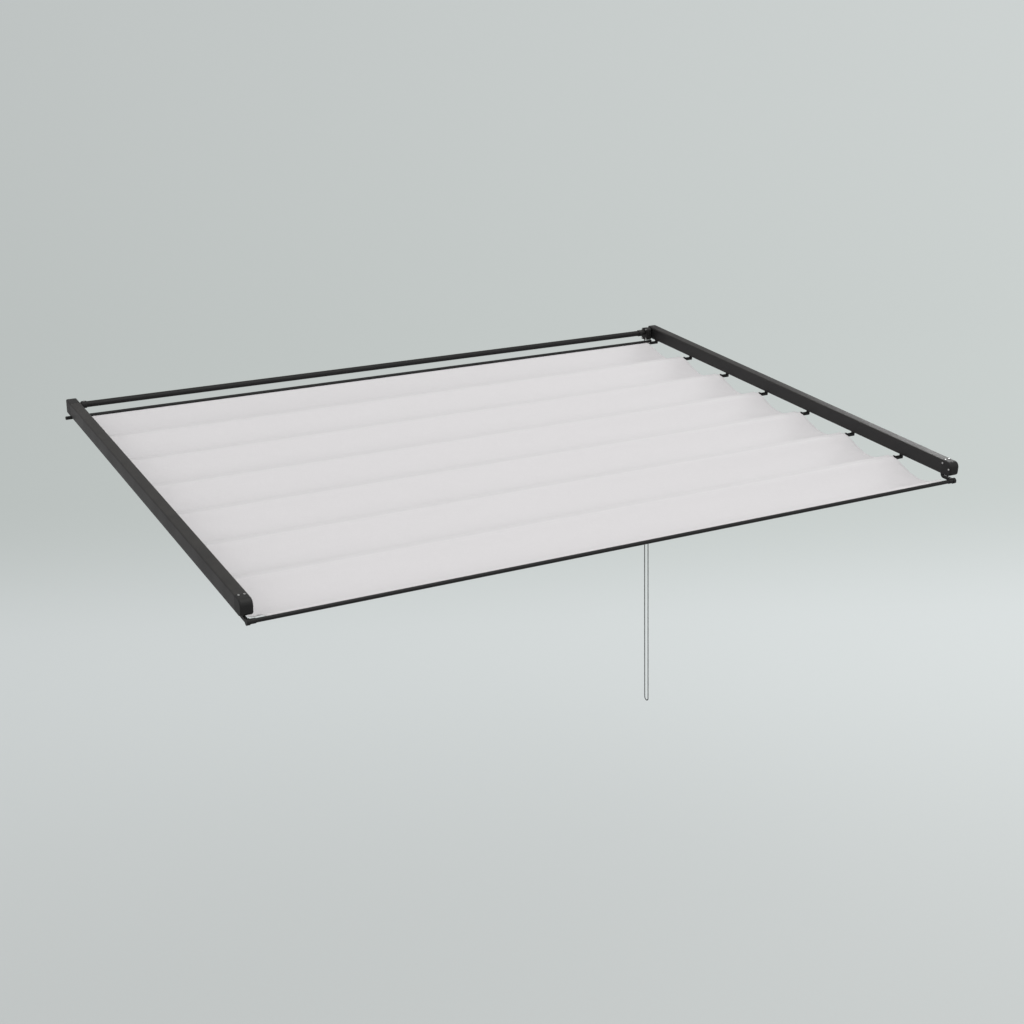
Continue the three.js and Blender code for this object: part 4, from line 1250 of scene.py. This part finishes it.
# Cloth
class ROOF_OT_cloth(bpy.types.Operator):
    """Builds the seven hanging bays of cloth and the pockets round the bars"""
    bl_idname = "roof.cloth"
    bl_label = "Cloth"

    # Grid of a bay
    ACROSS = 168  # columns from side to side
    ALONG = 22  # rows from the lowest line to a bar
    HEM_MARK = 0.001  # from the hem's edge to the columns on both sides of it
    HEM_CLEAR = 0.004  # from the hem's edge to the next column, at least

    # Unevenness: places in the noise for each metre, bay or share of a half bay
    BROAD = (1.1, 7.3, 1.0)
    GATHERS = (14, 3.1, 2.0)
    BESIDE_HEM = (9, 7, 5.7)
    HEM_REACH = 0.09  # how far the gathers beside a hem reach into the cloth
    HEM_STRENGTH = 2  # and how much higher they are than those at the seams
    FADE = 4  # how quickly the unevenness fades towards the calm part
    GATHER_POWER = 3  # how late the gathers at the seams set in
    PULL_POWER = 4  # how late the side edges pull in

    SAG_LENGTH = 1.09  # cloth between two bars, as a share of their distance
    HEM_LAYERS = 2

    # Pockets: where the cloth begins and ends, up from the level through the middle of the bar
    SLEEVE_ANGLE = math.radians(89)
    REAR_ANGLE = math.radians(-30)
    POCKET_INSET = 0.002
    POCKET_CUTS = 63  # along the bar
    POCKET_STEPS = 20  # round the bar
    POCKET_CHART = 0.1  # keeps pockets clear of the rows of sewing

    def execute(self, context):
        cloth = context.scene.roof_cloth
        for number in BAYS:
            self.bay(number, cloth)
        for number in BARS:
            self.pocket(f"cloth_pocket_{number}", f"roof_bar_{number}", f"bar_{number}",
                        self.SLEEVE_ANGLE, cloth)
        self.pocket("cloth_pocket_rear", "rear_bar", "frame", self.REAR_ANGLE, cloth)
        return {"FINISHED"}

    def column(self, share, half, hem):
        """Distance of a column from its side edge: two columns close together mark the hem."""
        index = round(share * self.ACROSS)
        plain = max(hem + self.HEM_CLEAR, index * half / (self.ACROSS / 2))
        return {0: 0.0, 1: hem - self.HEM_MARK, 2: hem + self.HEM_MARK}.get(index, plain)

    def rise(self, share, hanging, cloth):
        """Height from a bay's lowest line, 0, to its bar, 1. The last row lies level on the bar."""
        if hanging:
            return share ** 2
        share = min(1.0, share * self.ALONG / (self.ALONG - 1))
        bend = 1 - cloth.crest_share
        return share ** 2 / bend if share < bend else 1 - (1 - share) ** 2 / cloth.crest_share

    def waver(self, scales, *place):
        return noise.noise(Vector([scale * value for scale, value in zip(scales, place)]))

    def unevenness(self, x, share, edge, number, cloth):
        """How far slack cloth stands from the plain wave, and the gathers by hems and seams."""
        settle = min(1.0, max(0.0, (1 - share - cloth.calm_share) * self.FADE))
        broad = self.waver(self.BROAD, x, number, share) * cloth.slack
        gathers = self.waver(self.GATHERS, x, number, share) * cloth.pucker
        beside_hem = self.waver(self.BESIDE_HEM, edge, share, number) * cloth.pucker
        return settle * (broad + gathers * share ** self.GATHER_POWER
                         + beside_hem * self.HEM_STRENGTH * math.exp(-edge / self.HEM_REACH))

    def bay(self, number, cloth):
        node = f"fabric_bay_{number}"
        box, rear_bar = node_box(node), node_box("rear_bar").centre
        low, high = box.low, box.high
        first, last = number == BAYS[0], number == BAYS[-1]
        half, lift = high.x, cloth.thickness / 2
        valley = low.z + lift
        rear_crest = front_crest = high.z - lift
        if first:
            rear_crest = rear_bar.z - cloth.rear_drop + lift
        if last:
            front_crest = node_box("front_bar").high.z + GAP + lift
        pitch = node_box("roof_bar_1").centre.y - node_box("roof_bar_2").centre.y
        middle = (rear_bar.y if first else high.y) - pitch / 2
        mesh = bmesh.new()
        bmesh.ops.create_grid(mesh, x_segments=self.ACROSS, y_segments=2 * self.ALONG, size=0.5)
        laid = {}
        for vertex in mesh.verts:
            across, along = vertex.co.x, vertex.co.y * 2
            share = abs(along)
            edge = self.column(0.5 - abs(across), half, cloth.hem)
            end, crest = (high.y, rear_crest) if along > 0 else (low.y, front_crest)
            rise = self.rise(share, first and along > 0, cloth)
            side = half + cloth.spread - cloth.corner_pull * share ** self.PULL_POWER
            x = math.copysign(half - edge, across) * side / half
            z = valley + (crest - valley) * rise + self.unevenness(x, share, edge, number, cloth)
            vertex.co = (x, middle + (end - middle) * share, z)
            laid[vertex] = (edge, abs(end - middle) * (1 - share))
        self.chart(mesh, laid.get)
        hem = [vertex.index for vertex in mesh.verts if laid[vertex][0] < cloth.hem]
        body = "frame" if first else f"bar_{number - 1}"
        piece = add_piece(f"cloth_bay_{number}", mesh, "fabric", body, (node,))
        piece.vertex_groups.new(name="Hem").add(hem, 1.0, "REPLACE")
        wall = self.wall(piece, self.HEM_LAYERS * cloth.thickness)
        wall.vertex_group = "Hem"
        wall.thickness_vertex_group = 1 / self.HEM_LAYERS
        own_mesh(piece)

    def pocket(self, name, node, body, start, cloth):
        """The sewn pocket under a bar: cloth round its lower side, up to start on both sides."""
        box = node_box(node)
        bar = box.centre
        half = node_box("fabric_bay_2").high.x - self.POCKET_INSET
        radius = (box.high.z - box.low.z) / 2 + GAP + cloth.thickness / 2
        sweep = math.pi + 2 * start
        y, z = bar.y + radius * math.cos(start), bar.z + radius * math.sin(start)
        mesh = bmesh.new()
        edge = mesh.edges.new([mesh.verts.new((x, y, z)) for x in (-half, half)])
        bmesh.ops.subdivide_edges(mesh, edges=[edge], cuts=self.POCKET_CUTS)
        bmesh.ops.spin(mesh, geom=mesh.verts[:] + mesh.edges[:], cent=bar, axis=(-1, 0, 0),
                       angle=sweep, steps=self.POCKET_STEPS)

        def place_on_chart(vertex):
            arc = math.atan2(vertex.co.y - bar.y, bar.z - vertex.co.z) * radius
            return half - abs(vertex.co.x), self.POCKET_CHART + arc

        self.chart(mesh, place_on_chart)
        bmesh.ops.recalc_face_normals(mesh, faces=mesh.faces)
        piece = add_piece(name, mesh, "fabric", body)
        self.wall(piece, cloth.thickness)

    def chart(self, mesh, place):
        """Gives the cloth its UV map: metres from the side edge and from the crest."""
        layer = mesh.loops.layers.uv.new("Cloth")
        for face in mesh.faces:
            for loop in face.loops:
                loop[layer].uv = place(loop.vert)

    def wall(self, piece, thickness):
        """Gives the cloth its thickness, half to each side."""
        wall = piece.modifiers.new("Cloth", "SOLIDIFY")
        wall.thickness = thickness
        wall.offset = 0
        return wall


class ROOF_OT_inner_drive(bpy.types.Operator):
    """Gives the shafts, pulleys and belts inside the castings their finishes"""
    bl_idname = "roof.inner_drive"
    bl_label = "Inner Drive"

    PAIRS = {"idler_axle": "steel", "stub_shaft": "steel", "drive_belt": "belt",
             "idler_pulley": "plastic", "drive_pulley": "plastic", "shaft_bush": "plastic"}

    def execute(self, context):
        for stem, finish in self.PAIRS.items():
            for name in SIDES:
                dress(NODES[f"{stem}_{name}"], finish)
        dress(NODES["chain_wheel"], "plastic")
        return {"FINISHED"}


OPERATORS = (
    ROOF_OT_stage, ROOF_OT_hand_chain, ROOF_OT_rails, ROOF_OT_front_caps, ROOF_OT_drive_heads,
    ROOF_OT_chain_housing, ROOF_OT_cross_bars, ROOF_OT_torque_tube, ROOF_OT_hooks,
    ROOF_OT_rear_hangers, ROOF_OT_lead_carriages, ROOF_OT_cloth, ROOF_OT_inner_drive,
)


class ROOF_PT_panel(bpy.types.Panel):
    """Lists the pieces of the roof"""
    bl_idname = "ROOF_PT_panel"
    bl_label = "Pergola Roof"
    bl_space_type = "VIEW_3D"
    bl_region_type = "UI"
    bl_category = "Roof"

    def draw(self, context):
        for operator in OPERATORS:
            self.layout.operator(operator.bl_idname)


SETTINGS = {
    "roof_sizes": RoofSizes,
    "roof_chain": ChainSizes,
    "roof_cloth": ClothSizes,
    "roof_finishes": Finishes,
    "roof_stage": StageSettings,
}


def register():
    for name, group in SETTINGS.items():
        bpy.utils.register_class(group)
        setattr(bpy.types.Scene, name, PointerProperty(type=group))
    for operator in OPERATORS:
        bpy.utils.register_class(operator)
    bpy.utils.register_class(ROOF_PT_panel)


def unregister():
    bpy.utils.unregister_class(ROOF_PT_panel)
    for operator in reversed(OPERATORS):
        bpy.utils.unregister_class(operator)
    for name, group in SETTINGS.items():
        delattr(bpy.types.Scene, name)
        bpy.utils.unregister_class(group)


def main():
    register()
    for operator in OPERATORS:
        family, name = operator.bl_idname.split(".")
        getattr(getattr(bpy.ops, family), name)()


if __name__ == "__main__":
    main()
